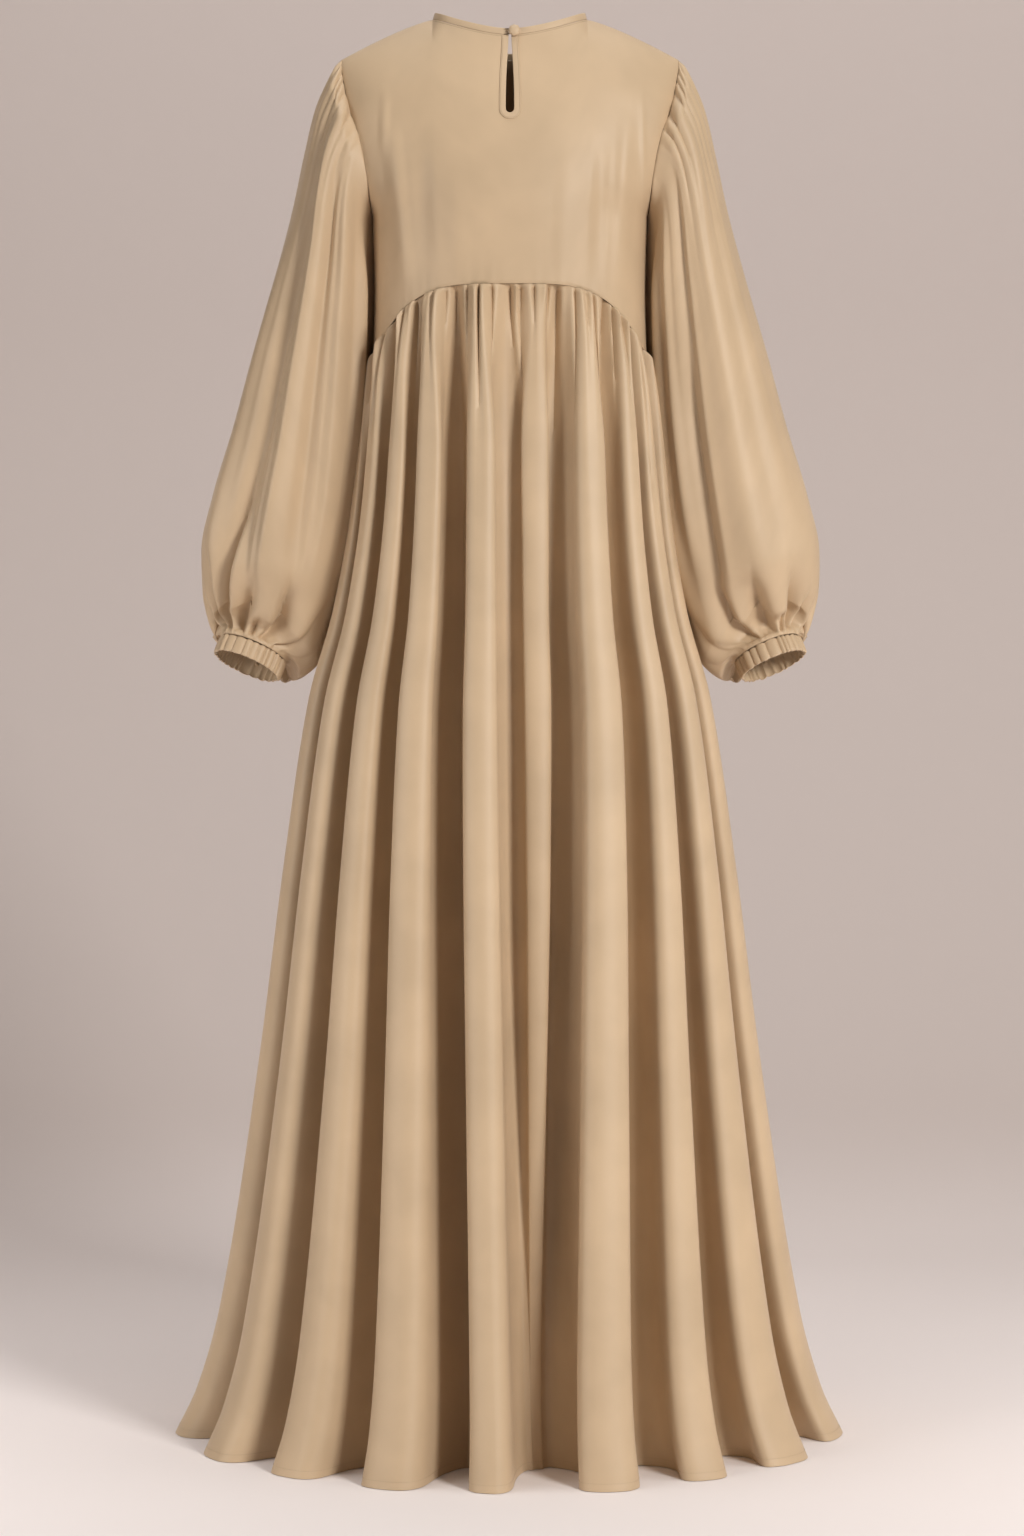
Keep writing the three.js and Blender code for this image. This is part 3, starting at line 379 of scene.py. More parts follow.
def shoulder_level(x):
    """Level of the shoulder line, and between the neck points of the form under the neck."""
    reach = np.abs(x) / NECK_HALF
    along = np.maximum(np.abs(x) - NECK_HALF, 0) / (SHOULDER_HALF - NECK_HALF)
    return np.where(reach < 1, NAPE_RISE * (1 - reach**2), -SHOULDER_DROP * along**SHOULDER_CURVE)


def neck_level(face, x):
    """Level of the neck seam, which dips at the centre."""
    return -NECK_DROP[face] * (1 - np.minimum(np.abs(x) / NECK_HALF, 1) ** NECK_CURVE[face])


def empire_level(x):
    """Level of the empire seam, which arches over the centre."""
    return EMPIRE - EMPIRE_ARCH * (np.abs(x) / EMPIRE_HALF) ** 4


def torso_depth(face, x, z):
    """Distance of the torso's surface before or behind the side seams."""
    square = body(z, "square")
    reach = np.minimum(np.abs(x) / body(z, "side"), 1)
    drop = shoulder_level(x) - z
    outwards = np.abs(x) - NECK_HALF
    soften = NAPE_RISE / NECK_HALF * (np.hypot(outwards, NECK_POINT_ROUNDING) - np.abs(outwards))
    soften = soften * blend(drop, 0, NECK_POINT_REACH)
    below = np.clip((drop + soften) / SHOULDER_ROUNDING, 0, 1)
    depth = body(z, face) * (1 - reach**square) ** (1 / square) * np.sqrt(1 - (1 - below) ** 2)
    for top_x, top_z, end_x, end_z, half_width, height in BODICE_FOLDS[face]:
        down = np.clip((z - top_z) / (end_z - top_z), 0, 1)
        depth = depth + height * np.sin(np.pi * down) * bump(x - mix(top_x, end_x, down), half_width)
    return depth


def gather_phase(face):
    """Gathers passed at each fold of the skirt."""
    halves = SKIRT_FOLDS[face]["half_gathers"]
    return np.concatenate(([0], np.cumsum(halves[:-1]))) / 2


def body_outline(face, angle, z):
    """Points of the body's outline and the ways out from them, at angles from the centre."""
    square, side, depth = body(z, "square"), body(z, "side"), body(z, face)
    x = side * np.abs(np.sin(angle)) ** (2 / square)
    y = depth * np.abs(np.cos(angle)) ** (2 / square)
    out_x = np.sign(angle) * (x / side) ** (square - 1) / side
    out_y = FACE[face] * (y / depth) ** (square - 1) / depth
    out = np.stack((out_x, out_y, np.zeros_like(out_x)), axis=-1)
    out /= np.linalg.norm(out, axis=-1, keepdims=True)
    return np.stack((np.sign(angle) * x, FACE[face] * y, z + 0 * x), axis=-1), out


# ---- Bodice ----

def column_share(column, down):
    """How far out a column lies, from its share at the shoulder to its share at the seam."""
    quarter = math.pi / 2
    neck = NECK_HALF / SHOULDER_HALF
    at_top = np.where(
        column <= NECK_COLUMNS,
        neck * np.sin(quarter * np.minimum(column / NECK_COLUMNS, 1)),
        mix(neck, 1, np.sin(quarter * np.clip((column - NECK_COLUMNS) / SHOULDER_COLUMNS, 0, 1))),
    )
    at_seam = np.sin(quarter * column / BODICE_COLUMNS)
    return mix(at_top, at_seam, blend(down, 0, 1))


def edge_level(row):
    """Level at which a row meets the armhole or the side seam."""
    half = (-SHOULDER_DROP - UNDERARM) / 2
    armhole = (UNDERARM - SHOULDER_DROP) / 2 + half * np.cos(np.pi * np.minimum(row / ARMHOLE_ROWS, 1))
    side = mix(UNDERARM, EMPIRE - EMPIRE_ARCH, np.clip((row - ARMHOLE_ROWS) / SIDE_ROWS, 0, 1))
    return np.where(row <= ARMHOLE_ROWS, armhole, side)


def bodice_grid(face, rows, columns):
    """Outer points of a bodice panel."""
    row, signed = np.meshgrid(rows, columns, indexing="ij")
    column = np.abs(signed)
    level = edge_level(row)
    edge_share = (level + SHOULDER_DROP) / (EMPIRE - EMPIRE_ARCH + SHOULDER_DROP)
    across = column_share(column, row / BODICE_ROWS)
    edge = smooth(BODICE_EDGE, "level", level, "x")
    x = np.sign(signed) * across * edge
    top_x = column_share(column, 0) * SHOULDER_HALF
    top = np.where(top_x < NECK_HALF, neck_level(face, top_x), shoulder_level(top_x))
    bottom = empire_level(column_share(column, 1) * EMPIRE_HALF)
    share = mix(smooth(BODICE_SHARES, "row", row, "share"), edge_share, across**1.5)
    z = mix(top, bottom, share)
    depth = np.maximum(torso_depth(face, x, z), SEAM_GAP / 2)
    above_seam = z - bottom
    angle = np.degrees(np.arcsin(np.clip(np.abs(x) / EMPIRE_HALF, 0, 1) ** 1.15))
    gathers = np.interp(-np.sign(x) * angle, -SKIRT_FOLDS[face]["seam"], gather_phase(face))
    strength = 0.5 + 0.5 * np.sin(gathers * 1.7 + 1) * np.sin(gathers * 0.61)
    pucker = 0.42 * strength * np.cos(2 * np.pi * gathers) * np.exp(-above_seam / 15) * (column < 13)
    beside_armhole = (row < ARMHOLE_ROWS) & (row > 0.3)
    armhole_roll = 0.7 * np.exp(-(((edge - np.abs(x)) / 1.8) ** 2)) * beside_armhole
    seam_roll = 0.9 * np.exp(-((above_seam / 1.6) ** 2)) + armhole_roll
    return np.stack((x, FACE[face] * (depth + pucker - seam_roll), z), axis=-1)


def bodice_mesh(face, thickness):
    rows = spaced(100, BODICE_ROWS, (BODICE_ROWS, 0.35, 5), (0, 0.25, 4)) * BODICE_ROWS
    half = spaced(100, BODICE_COLUMNS, (BODICE_COLUMNS, 0.4, 4), (0, 2, 0.6)) * BODICE_COLUMNS
    grid = bodice_grid(face, rows, np.concatenate((-half[:0:-1], half)))
    inside = np.zeros_like(grid)
    inside[..., 1] = -60 * FACE[face]
    inside[..., 2] = grid[..., 2]

    def level_rims(normals):
        normals = normals.copy()
        shoulder = np.abs(grid[0, :, 0]) >= NECK_HALF - 0.5
        x = grid[0, shoulder, 0]
        along = np.maximum(np.abs(x) - NECK_HALF, 0) / (SHOULDER_HALF - NECK_HALF)
        normals[0, shoulder] = (0, 0, SHOULDER_HALF - NECK_HALF)
        normals[0, shoulder, 0] = np.sign(x) * SHOULDER_DROP * SHOULDER_CURVE * along ** (SHOULDER_CURVE - 1)
        side_rows = rows >= ARMHOLE_ROWS
        normals[side_rows, 0] = (-1, 0, 0)
        normals[side_rows, -1] = (1, 0, 0)
        normals[-1, :, 2] = 0
        return normals / np.linalg.norm(normals, axis=2, keepdims=True)

    return shell(f"bodice_{face}_shell", grid, thickness, inside, normals=level_rims)


# ---- Keyhole and its binding ----

def keyhole_outline(count):
    """Points down the keyhole's left side, round its end and up, and the ways along it."""
    top = float(neck_level("back", 0)) - KEYHOLE_TOP_INSET
    turn = KEYHOLE_BOTTOM + KEYHOLE_HALF
    a, b = (KEYHOLE_TOP_HALF, top), (KEYHOLE_TOP_HALF + KEYHOLE_TOP_BEND[0], top - KEYHOLE_TOP_BEND[1])
    c, d = (KEYHOLE_HALF, turn + KEYHOLE_SIDE_BEND), (KEYHOLE_HALF, turn)
    t = np.linspace(0, 1, 200)[:, None]
    side = (1 - t) ** 3 * a + 3 * t * (1 - t) ** 2 * b + 3 * t**2 * (1 - t) * c + t**3 * d
    arc = -np.linspace(0, math.pi, 120)[1:-1, None]
    end = np.concatenate((np.cos(arc), np.sin(arc)), axis=1) * KEYHOLE_HALF + (0, turn)
    path = np.concatenate((side, end, side[::-1] * (-1, 1)))
    return resample(path, count)


def resample(path, count):
    """Evenly spaced points of a path and the unit ways along it."""
    steps = np.concatenate(([0], np.cumsum(np.linalg.norm(np.diff(path, axis=0), axis=1))))
    at = np.linspace(0, steps[-1], count)
    points = np.stack([np.interp(at, steps, column) for column in path.T], axis=1)
    along = np.gradient(points, axis=0)
    return points, along / np.linalg.norm(along, axis=1, keepdims=True)


def cut_keyhole(mesh):
    """The back bodice with the keyhole cut through it."""
    outline, _ = keyhole_outline(90)
    top = np.array(((-KEYHOLE_TOP_HALF, 20.0), (KEYHOLE_TOP_HALF, 20.0)))
    ring = np.concatenate((outline, top))
    near, far = np.insert(ring, 1, 8.0, axis=1), np.insert(ring, 1, 140.0, axis=1)
    count = len(ring)
    index = np.arange(count)
    sides = np.stack((index, (index + 1) % count, (index + 1) % count + count, index + count), axis=1)
    faces = [tuple(side) for side in sides]
    faces += [tuple(index[::-1]), tuple(index + count)]
    cutter_mesh = bpy.data.meshes.new("keyhole_cutter")
    cutter_mesh.from_pydata((np.concatenate((near, far)) * MM).tolist(), [], faces)
    cutter_mesh.validate()
    cutter = bpy.data.objects.new("keyhole_cutter", cutter_mesh)
    panel = bpy.data.objects.new("panel_to_cut", mesh)
    for made in (cutter, panel):
        bpy.context.scene.collection.objects.link(made)
    cut = panel.modifiers.new("Keyhole", "BOOLEAN")
    cut.operation, cut.solver, cut.object = "DIFFERENCE", "EXACT", cutter
    evaluated = panel.evaluated_get(bpy.context.evaluated_depsgraph_get())
    result = bpy.data.meshes.new_from_object(evaluated)
    for made in (cutter, panel):
        bpy.data.objects.remove(made)
    result.set_sharp_from_angle(angle=SHARP_ANGLE)
    if len(result.vertices) < len(mesh.vertices) * 0.9:
        raise RuntimeError("the keyhole was not cut")
    return result


def keyhole_binding_mesh():
    points, along = keyhole_outline(150)
    profile = spaced(15, 1.0, (0, 0.08, 5), (1, 0.08, 5))
    x = points[:, :1] - along[:, 1:] * profile * BINDING_WIDTH
    z = points[:, 1:] + along[:, :1] * profile * BINDING_WIDTH
    crown = (1 - np.abs(2 * profile - 1) ** 6) ** (1 / 3)
    stitch_dip = 0.28 * np.exp(-(((profile - BINDING_STITCHES) / 0.05) ** 2))
    rise = BINDING_EDGE + (BINDING_WALL - BINDING_EDGE) * crown - stitch_dip
    grid = np.stack((x, torso_depth("back", x, z) + SEAM_GAP + rise, z), axis=-1)
    inside = grid - (0, 50, 0)
    back = torso_depth("back", x, z) + 0.15
    return shell("keyhole_binding_shell", grid, (grid[..., 1] - back)[..., None], inside,
                 normals=lambda normals: np.zeros_like(normals) + (0, 1, 0))


# ---- Neck binding ----

def neck_path(count):
    """Points of the neck seam from the left end of the opening round the front to the right."""
    half = math.asin(BAND_OPENING / 2 / NECK_HALF)
    turn = np.linspace(half, 2 * math.pi - half, 1200)
    x = NECK_HALF * np.sin(turn)
    back = np.cos(turn) > 0
    z = np.where(back, neck_level("back", x), neck_level("front", x))
    y = np.where(back, torso_depth("back", x, z), -torso_depth("front", x, z))
    return resample(np.stack((x, y, z), axis=1), count)


def band_frame(count):
    """Points of the neck seam, the ways up the leaning band and the ways out of its face."""
    points, along = neck_path(count)
    out = np.stack((along[:, 1], -along[:, 0], np.zeros(count)), axis=1)
    out /= np.linalg.norm(out, axis=1, keepdims=True)
    if np.sum(out * points * (1, 1, 0)) < 0:
        out = -out
    up = np.array((0.0, 0.0, 1.0))
    rise = up * math.cos(BAND_LEAN) - out * math.sin(BAND_LEAN)
    face = up * math.sin(BAND_LEAN) + out * math.cos(BAND_LEAN)
    return points, rise, face


def neck_binding_mesh():
    points, rise, face = band_frame(420)
    turn = np.linspace(0, 2 * math.pi, 29)[:-1] + 0.01

    def round_box(wave):
        return np.sign(wave) * np.abs(wave) ** 0.45

    height = mix(SEAM_GAP, BAND_HEIGHT, 0.5 + 0.5 * round_box(np.sin(turn)))
    depth = BAND_WALL * (0.5 + 0.5 * round_box(np.cos(turn))) * mix(1, 0.8, height / BAND_HEIGHT)
    depth = depth - BAND_WALL
    ring = points[:, None] + rise[:, None] * height[None, :, None] + face[:, None] * depth[None, :, None]
    count, sides = ring.shape[:2]
    index = np.arange(count - 1)[:, None] * sides
    c = np.arange(sides)[None, :]
    n = (c + 1) % sides
    faces = np.stack((index + c, index + n, index + sides + n, index + sides + c), axis=-1).reshape(-1, 4)
    caps = [tuple(range(sides))[::-1], tuple(range((count - 1) * sides, count * sides))]
    faces = [tuple(f) for f in faces] + caps
    uvs = []
    for f in faces:
        uvs.extend(((v // sides) * 1.4 * MM, (v % sides) * 0.7 * MM) for v in f)
    mesh = make_mesh("neck_binding_shell", ring.reshape(-1, 3), faces, uvs)
    return turned_out(mesh)


def turned_out(mesh):
    """The mesh with its faces pointing outwards."""
    work = bmesh.new()
    work.from_mesh(mesh)
    bmesh.ops.recalc_face_normals(work, faces=work.faces)
    if work.calc_volume(signed=True) < 0:
        bmesh.ops.reverse_faces(work, faces=work.faces)
    work.to_mesh(mesh)
    work.free()
    return mesh


# ---- Skirt ----

def ridges(phase, seed, fade):
    """Round gathers with tight valleys: the shape of each and how far down each one lasts."""
    rng = np.random.default_rng(seed)
    count = int(np.ceil(phase.max())) + 2
    height = rng.uniform(0.55, 1.35, count)
    length = fade * rng.uniform(0.55, 1.9, count)
    index = np.clip(np.floor(phase).astype(int), 0, count - 1)
    return height[index] * np.sin(np.pi * (phase % 1)) ** 0.85, length[index]


def gathers_passed(face, columns):
    """How many gathers lie before each column, with uneven steps between them."""
    phase = np.interp(columns, np.arange(len(SKIRT_FOLDS[face]["seam"])), gather_phase(face))
    phase = phase + 0.16 * np.sin(phase * 2.3 + 1) + 0.11 * np.sin(phase * 5.1)
    return np.clip(phase, 0, None)


def seam_gathers(face, phase, below, depth, fade):
    """Height of the gathers under the empire seam, tight at the seam and rounder below it."""
    fine, length = ridges(phase, SKIRT_SEED[face], fade)
    start = blend(below, 0, 7)
    fine = fine ** mix(1.1, 0.5, blend(below, 0, 60))
    return depth * (2.0 * fine - 1.4) * np.exp(-((below / length) ** 1.2)) * mix(0.35, 1, start)


def soft_folds(face, phase, below):
    """Height of the folds that gathers run on into, and of a few soft waves lower down."""
    rng = np.random.default_rng(SKIRT_SEED[face] + 1)
    total = np.zeros_like(below)
    for centre in np.arange(1.2, phase.max() - 0.5, 1.9):
        centre += rng.uniform(-0.4, 0.4)
        width, reach, lift = rng.uniform(0.7, 1.25), rng.uniform(90, 320), rng.uniform(2.5, 6.5)
        along = (1 - np.exp(-below / 22)) * np.exp(-((below / reach) ** 2))
        total = total + lift * along * bump(phase - centre, width)
    for centre in np.arange(2.0, phase.max() - 1, 6.5):
        centre += rng.uniform(-1.2, 1.2)
        width, lift, tilt = rng.uniform(1.1, 1.9), rng.uniform(-2.2, 2.6), rng.uniform(-0.8, 0.8)
        along = blend(below, 250, 600) * (1 - 0.5 * blend(below, 900, 1200))
        total = total + lift * along * bump(phase - centre - tilt * (below / 1250), width)
    return total


def skirt_grid(face, columns, down, gather_depth, gather_fade):
    """Outer points of a skirt panel."""
    folds = SKIRT_FOLDS[face]
    index = np.minimum(np.floor(columns).astype(int), len(folds["seam"]) - 2)
    share = columns - index

    def pick(column):
        return folds[column][index], folds[column][index + 1]

    seam = np.radians(mix(*pick("seam"), share))
    left_side = folds["height"][index] < folds["height"][index + 1]
    swing = np.sin(2 * np.pi * share) / (2 * np.pi)
    full_seam = np.radians(mix(*pick("seam"), share + np.where(left_side, *FULLNESS_ABOVE) * swing))
    hem = np.radians(mix(*pick("hem"), share + np.where(left_side, *FULLNESS_BELOW) * swing))
    top = np.full_like(seam, EMPIRE)
    for _ in range(5):
        top = empire_level(body_outline(face, seam, top)[0][..., 0]) - SEAM_GAP
    down = down[:, None]
    z = mix(top, HEM, down)
    below = top - z
    spread = blend(down, 0.5, 1)
    (height_a, height_b), (upper_a, upper_b) = pick("height"), pick("upper")
    height_a, height_b = mix(upper_a, height_a, spread), mix(upper_b, height_b, spread)
    rising = height_a < height_b
    rise = 0.5 - 0.5 * np.cos(np.pi * np.where(rising, share, 1 - share))
    main = mix(np.minimum(height_a, height_b), np.maximum(height_a, height_b), rise**0.7)
    growth = mix(0.05, 1, down ** np.where(main > 0, 0.57, 0.38))

    phase = gathers_passed(face, columns)
    gathers = seam_gathers(face, phase, below, gather_depth, gather_fade)
    wide = soft_folds(face, phase, below)
    roll = 0.8 * np.exp(-((below / 1.3) ** 2))
    above_hem = z - HEM
    hem_line = 0.35 * np.exp(-(((above_hem - 8) / 1.2) ** 2))
    ripple = 0.35 * np.sin(phase * 2 * np.pi * 3.7) * np.sin(phase * 2.9) * np.exp(-above_hem / 14)
    offset = main * growth + gathers + wide - roll - hem_line + ripple

    angle = mix(mix(seam, full_seam, blend(below, 20, 180)), hem, down)
    points, out = body_outline(face, angle, z)
    points = points + out * offset[..., None]
    points[:, 0, 1] = points[:, -1, 1] = FACE[face] * SEAM_GAP / 2
    return points


def skirt_columns(face, per_fold):
    """Places of the columns, counted in crests and troughs from the left side seam."""
    spans = len(SKIRT_FOLDS[face]["seam"]) - 1
    return np.linspace(0, spans, spans * per_fold + 1)


def skirt_mesh(face, sizes):
    down = spaced(sizes.skirt_rows, SKIRT_LENGTH, (0, 60, 7), (0, 6, 10), (SKIRT_LENGTH, 10, 8))
    columns = skirt_columns(face, sizes.columns_per_fold)
    grid = skirt_grid(face, columns, down, sizes.gather_depth / MM, sizes.gather_fade / MM)
    inside = grid * (0, 0, 1)
    hem_turn = sizes.hem_turn / MM
    doubled = 1 + 0.7 * (1 - blend(grid[..., 2] - HEM, hem_turn - 0.6, hem_turn + 0.6))

    def level_rims(normals):
        normals = normals.copy()
        normals[:, 0, 1] = normals[:, -1, 1] = 0
        normals[0, :, 2] = normals[-1, :, 2] = 0
        return normals / np.linalg.norm(normals, axis=2, keepdims=True)

    thickness = sizes.cloth / MM * doubled[..., None]
    return shell(f"skirt_{face}_shell", grid, thickness, inside, normals=level_rims)


# ---- Sleeves and cuffs ----

CUFF_ACROSS = np.array((math.cos(CUFF_TURN), 0, math.sin(CUFF_TURN)))
CUFF_BACK = np.array((0, math.cos(CUFF_PITCH), math.sin(CUFF_PITCH)))
CUFF_DOWN = np.cross(CUFF_BACK, CUFF_ACROSS)


def cuff_ring(angle, out, down):
    """Points round a cuff, out from its oval and down from its top edge."""
    angle, out, down = np.broadcast_arrays(angle, out, down)
    return (
        CUFF_CENTRE
        + CUFF_ACROSS * ((CUFF_HALF_WIDTH + out) * np.cos(angle))[..., None]
        + CUFF_BACK * ((CUFF_HALF_DEPTH + out) * np.sin(angle))[..., None]
        + CUFF_DOWN * down[..., None]
    )


def armhole_ring(angle):
    """The bodice's armhole as the sleeve's first ring, and the ways out of its cloth there."""
    half = (-SHOULDER_DROP - UNDERARM) / 2
    z = (UNDERARM - SHOULDER_DROP) / 2 + half * np.cos(angle)
    x = smooth(BODICE_EDGE, "level", z, "x")
    back = np.sin(angle) >= 0
    sign = np.where(back, 1.0, -1.0)

    def depth(x, z):
        return np.where(back, torso_depth("back", x, z), torso_depth("front", x, z))

    here = depth(x, z)
    out = np.stack((here - depth(x + 0.5, z), 0.5 * sign, here - depth(x, z + 0.5)), axis=-1)
    out /= np.linalg.norm(out, axis=-1, keepdims=True)
    top = 1 - blend(np.abs(np.sin(angle / 2)), 0, 0.16)
    low = blend(1 - np.cos(angle), 0.9, 2.0)
    out = mix(out, np.array((0.25, 0, 1.0)), top[:, None])
    out = mix(out, out * (0, 0.5, 0) + (0, 0, -1), low[:, None])
    out /= np.linalg.norm(out, axis=-1, keepdims=True)
    y = np.where(np.abs(np.sin(angle)) < 1e-6, 0, sign * np.maximum(here, 0.2))
    return np.stack((x + 0.4, y, z + 0.4 * low), axis=-1), out


def through_rings(rings, places, at):
    """Rings on smooth curves through the given ones."""
    row = np.clip(np.searchsorted(places, at, "right") - 1, 0, len(places) - 2)
    span = np.diff(places)[row]
    leave, arrive = tangents(places, rings, row)
    span, t = span[:, None, None], ((at - places[row]) / span)[:, None, None]
    return hermite(rings[row], rings[row + 1], leave * span, arrive * span, t)


def fine_pleats(angle, up, seed, count):
    """Short pleats in the cloth's fullness just above the cuff."""
    rng = np.random.default_rng(seed)
    total = np.zeros(np.broadcast_shapes(angle.shape, up.shape))
    for k in range(count):
        centre = 2 * math.pi * (k + rng.uniform(-0.35, 0.35)) / count
        reach, deep = 20 * rng.uniform(0.55, 1.5), 3.2 * rng.uniform(0.5, 1.3)
        away = (angle - centre + math.pi) % (2 * math.pi) - math.pi
        width = 0.04 + 0.05 * np.clip(up / reach, 0, 1)
        total = total - deep * np.exp(-((up / reach) ** 2)) * np.exp(-((away / width) ** 2))
    return total * blend(up, 0.3, 4)


def blouse_valleys(side, degrees, up):
    """Deep valleys between the puffs above the cuff, each steeper on one side."""
    total = np.zeros(np.broadcast_shapes(degrees.shape, up.shape))
    room = 4 + 0.75 * up
    for start, end, before, after, deep, reach in BLOUSE_VALLEYS[side]:
        away = degrees_between(degrees, mix(start, end, np.clip(up / reach, 0, 1)))
        opening = mix(0.55, 1.05, np.clip(up / reach, 0, 1))
        width = np.where(away < 0, before, after) * opening
        total = total - deep * np.exp(-((up / reach) ** 3)) * np.exp(-(np.abs(away / width) ** 1.35))
    return room * np.tanh(VALLEY_DEPTH * total * blend(up, 0, 10) / room)


def degrees_between(angle, other):
    """The shorter way from the other angle to this one."""
    return (angle - other + 540) % 360 - 180


def sleeve_rings(angle):
    """Sections of a plain sleeve below its first one, down to the cuff."""
    rings = []
    for i in range(len(SLEEVE["depth"])):
        outer = np.array((SLEEVE["out_x"][i], SLEEVE["y"][i], SLEEVE["out_z"][i]))
        inner = np.array((SLEEVE["in_x"][i], SLEEVE["y"][i], SLEEVE["in_z"][i]))
        pitch = math.radians(SLEEVE["pitch"][i])
        back = np.array((0, math.cos(pitch), math.sin(pitch))) * SLEEVE["depth"][i]
        middle, across = (outer + inner) / 2, (outer - inner) / 2
        rings.append(middle + np.outer(np.cos(angle), across) + np.outer(np.sin(angle), back))
    rings.append(cuff_ring(angle, *SLEEVE_OVER_CUFF))
    rings.append(cuff_ring(angle, *SLEEVE_AT_CUFF))
    return rings


def sleeve_relief(side, angle, at, length, sizes):
    """Height of a sleeve's folds, head gathers, valleys and pleats above its plain form."""
    down, up, along = at[:, None], (length - at)[:, None], (at / length)[:, None]
    degrees = np.degrees(angle)[None, :]
    offset = np.zeros((len(at), len(angle)))
    for head, end, before, after, height, begin, finish in SLEEVE_FOLDS[side]:
        away = degrees_between(degrees, mix(head, end, along))
        shape = np.where(away < 0, bump(away, before), bump(away, after))
        strength = blend(along, begin - 0.02, begin + 0.16) * (1 - blend(along, finish - 0.22, finish))
        offset = offset + height * strength * shape
    phase = degrees[0] / 360 * sizes.head_gathers * 2
    phase = phase + 0.2 * np.sin(phase * 1.9) + 0.5
    fine, lasting = ridges(phase, SLEEVE_SEED[side] + 2, 62)
    on_head = blend(np.cos(angle), -0.35, 0.35)
    head = on_head * (4.0 * fine - 1.9) * np.exp(-((down / lasting) ** 1.2)) * mix(0.25, 1, blend(down, 0, 8))
    offset = offset + head
    pleats = fine_pleats(angle, up, SLEEVE_SEED[side] + 1, sizes.cuff_pleats)
    calmer_inside = 1 - 0.75 * blend(-np.cos(angle), 0.35, 0.85)
    offset = offset + (blouse_valleys(side, degrees, up) + pleats) * calmer_inside
    return offset - 0.7 * np.exp(-((down / 1.5) ** 2))


def sleeve_mesh(side, sizes):
    """A bishop sleeve from the armhole to the cuff, made on the left and mirrored for the right."""
    angle = np.linspace(0, 2 * math.pi, sizes.sleeve_columns, endpoint=False)
    first, first_out = armhole_ring(angle)
    rings = np.array([first, *sleeve_rings(angle)])
    middles = rings.mean(axis=1)
    places = np.concatenate(([0], np.cumsum(np.linalg.norm(np.diff(rings, axis=0), axis=2).mean(axis=1))))
    length = places[-1]
    at = spaced(sizes.sleeve_rows, length, (0, 30, 3), (length, 40, 4), (length, 5, 6)) * length
    grid = through_rings(rings, places, at)
    core = through_rings(middles[:, None], places, at)
    tuck = bump(degrees_between(np.degrees(angle), UNDERARM_TUCK_ANGLE), 75)[None, :]
    level = grid[..., 2]
    tuck = tuck * blend(level, -430, -350) * (1 - blend(level, -240, -200))
    grid = grid - tuck[..., None] * (UNDERARM_TUCK, 0, 0)
    normals, _ = grid_normals(grid, core, closed=True)
    grid = grid + normals * sleeve_relief(side, angle, at, length, sizes)[..., None]
    inside = np.broadcast_to(core, grid.shape)

    def seam_ways(found):
        found = found.copy()
        found[0] = first_out
        found[-1] = CUFF_DOWN
        return found

    mesh = shell(f"sleeve_{side}_shell", grid, sizes.cloth / MM, inside, closed=True, normals=seam_ways)
    return mirrored(mesh) if side == "right" else mesh


def mirrored(mesh):
    """The mesh on the other side of the garment, with its faces still outwards."""
    for vertex in mesh.vertices:
        vertex.co.x = -vertex.co.x
    mesh.flip_normals()
    return mesh


def cuff_mesh(side, sizes):
    """An elastic casing: uneven soft ruches between tight creases."""
    rng = np.random.default_rng(SLEEVE_SEED[side] + 3)
    count = sizes.cuff_ruches
    widths = rng.uniform(0.45, 1.6, count)
    edges = np.concatenate(([0], np.cumsum(widths))) / widths.sum() * 2 * math.pi
    depth = rng.uniform(0.55, 1.15, count)
    angle = np.linspace(0, 2 * math.pi, 420, endpoint=False)
    index = np.searchsorted(edges, angle, "right") - 1
    share = (angle - edges[index]) / (edges[index + 1] - edges[index])
    puff = np.sin(np.pi * share) ** 0.5 * depth[index]
    turn = np.linspace(-0.5, 0.5, 17) * math.pi
    height = CUFF_HEIGHT / 2 + (CUFF_HEIGHT / 2) * np.sign(turn) * np.abs(np.sin(turn)) ** 0.75
    crown = np.cos(turn) ** 0.5
    wave = 1.6 * (1 - puff) * np.sign(turn)[:, None]
    offset = -1.2 + 1.2 * crown[:, None] + 3.4 * (puff - 0.6) * (0.5 + 0.5 * crown[:, None])
    grid = cuff_ring(angle[None, :], offset, height[:, None] - wave)
    inside = np.broadcast_to(CUFF_CENTRE + CUFF_DOWN * (CUFF_HEIGHT / 2), grid.shape)

    def level(found):
        found = found - (found @ CUFF_DOWN)[..., None] * CUFF_DOWN
        return found / np.linalg.norm(found, axis=2, keepdims=True)

    mesh = shell(f"cuff_{side}_shell", grid, CUFF_WALL, inside, closed=True, normals=level)
    return mirrored(mesh) if side == "right" else mesh


# ---- Button ----

def button_frame():
    """Where the shank is sewn on, the way the button faces and the way up its face."""
    y = float(torso_depth("back", 0.0, neck_level("back", 0.0)))
    seat = np.array((BUTTON_X, y - BUTTON_INSET, BUTTON_Z))
    facing = np.array((0, math.cos(BUTTON_TILT), math.sin(BUTTON_TILT)))
    return seat, facing, np.cross((1.0, 0, 0), facing)


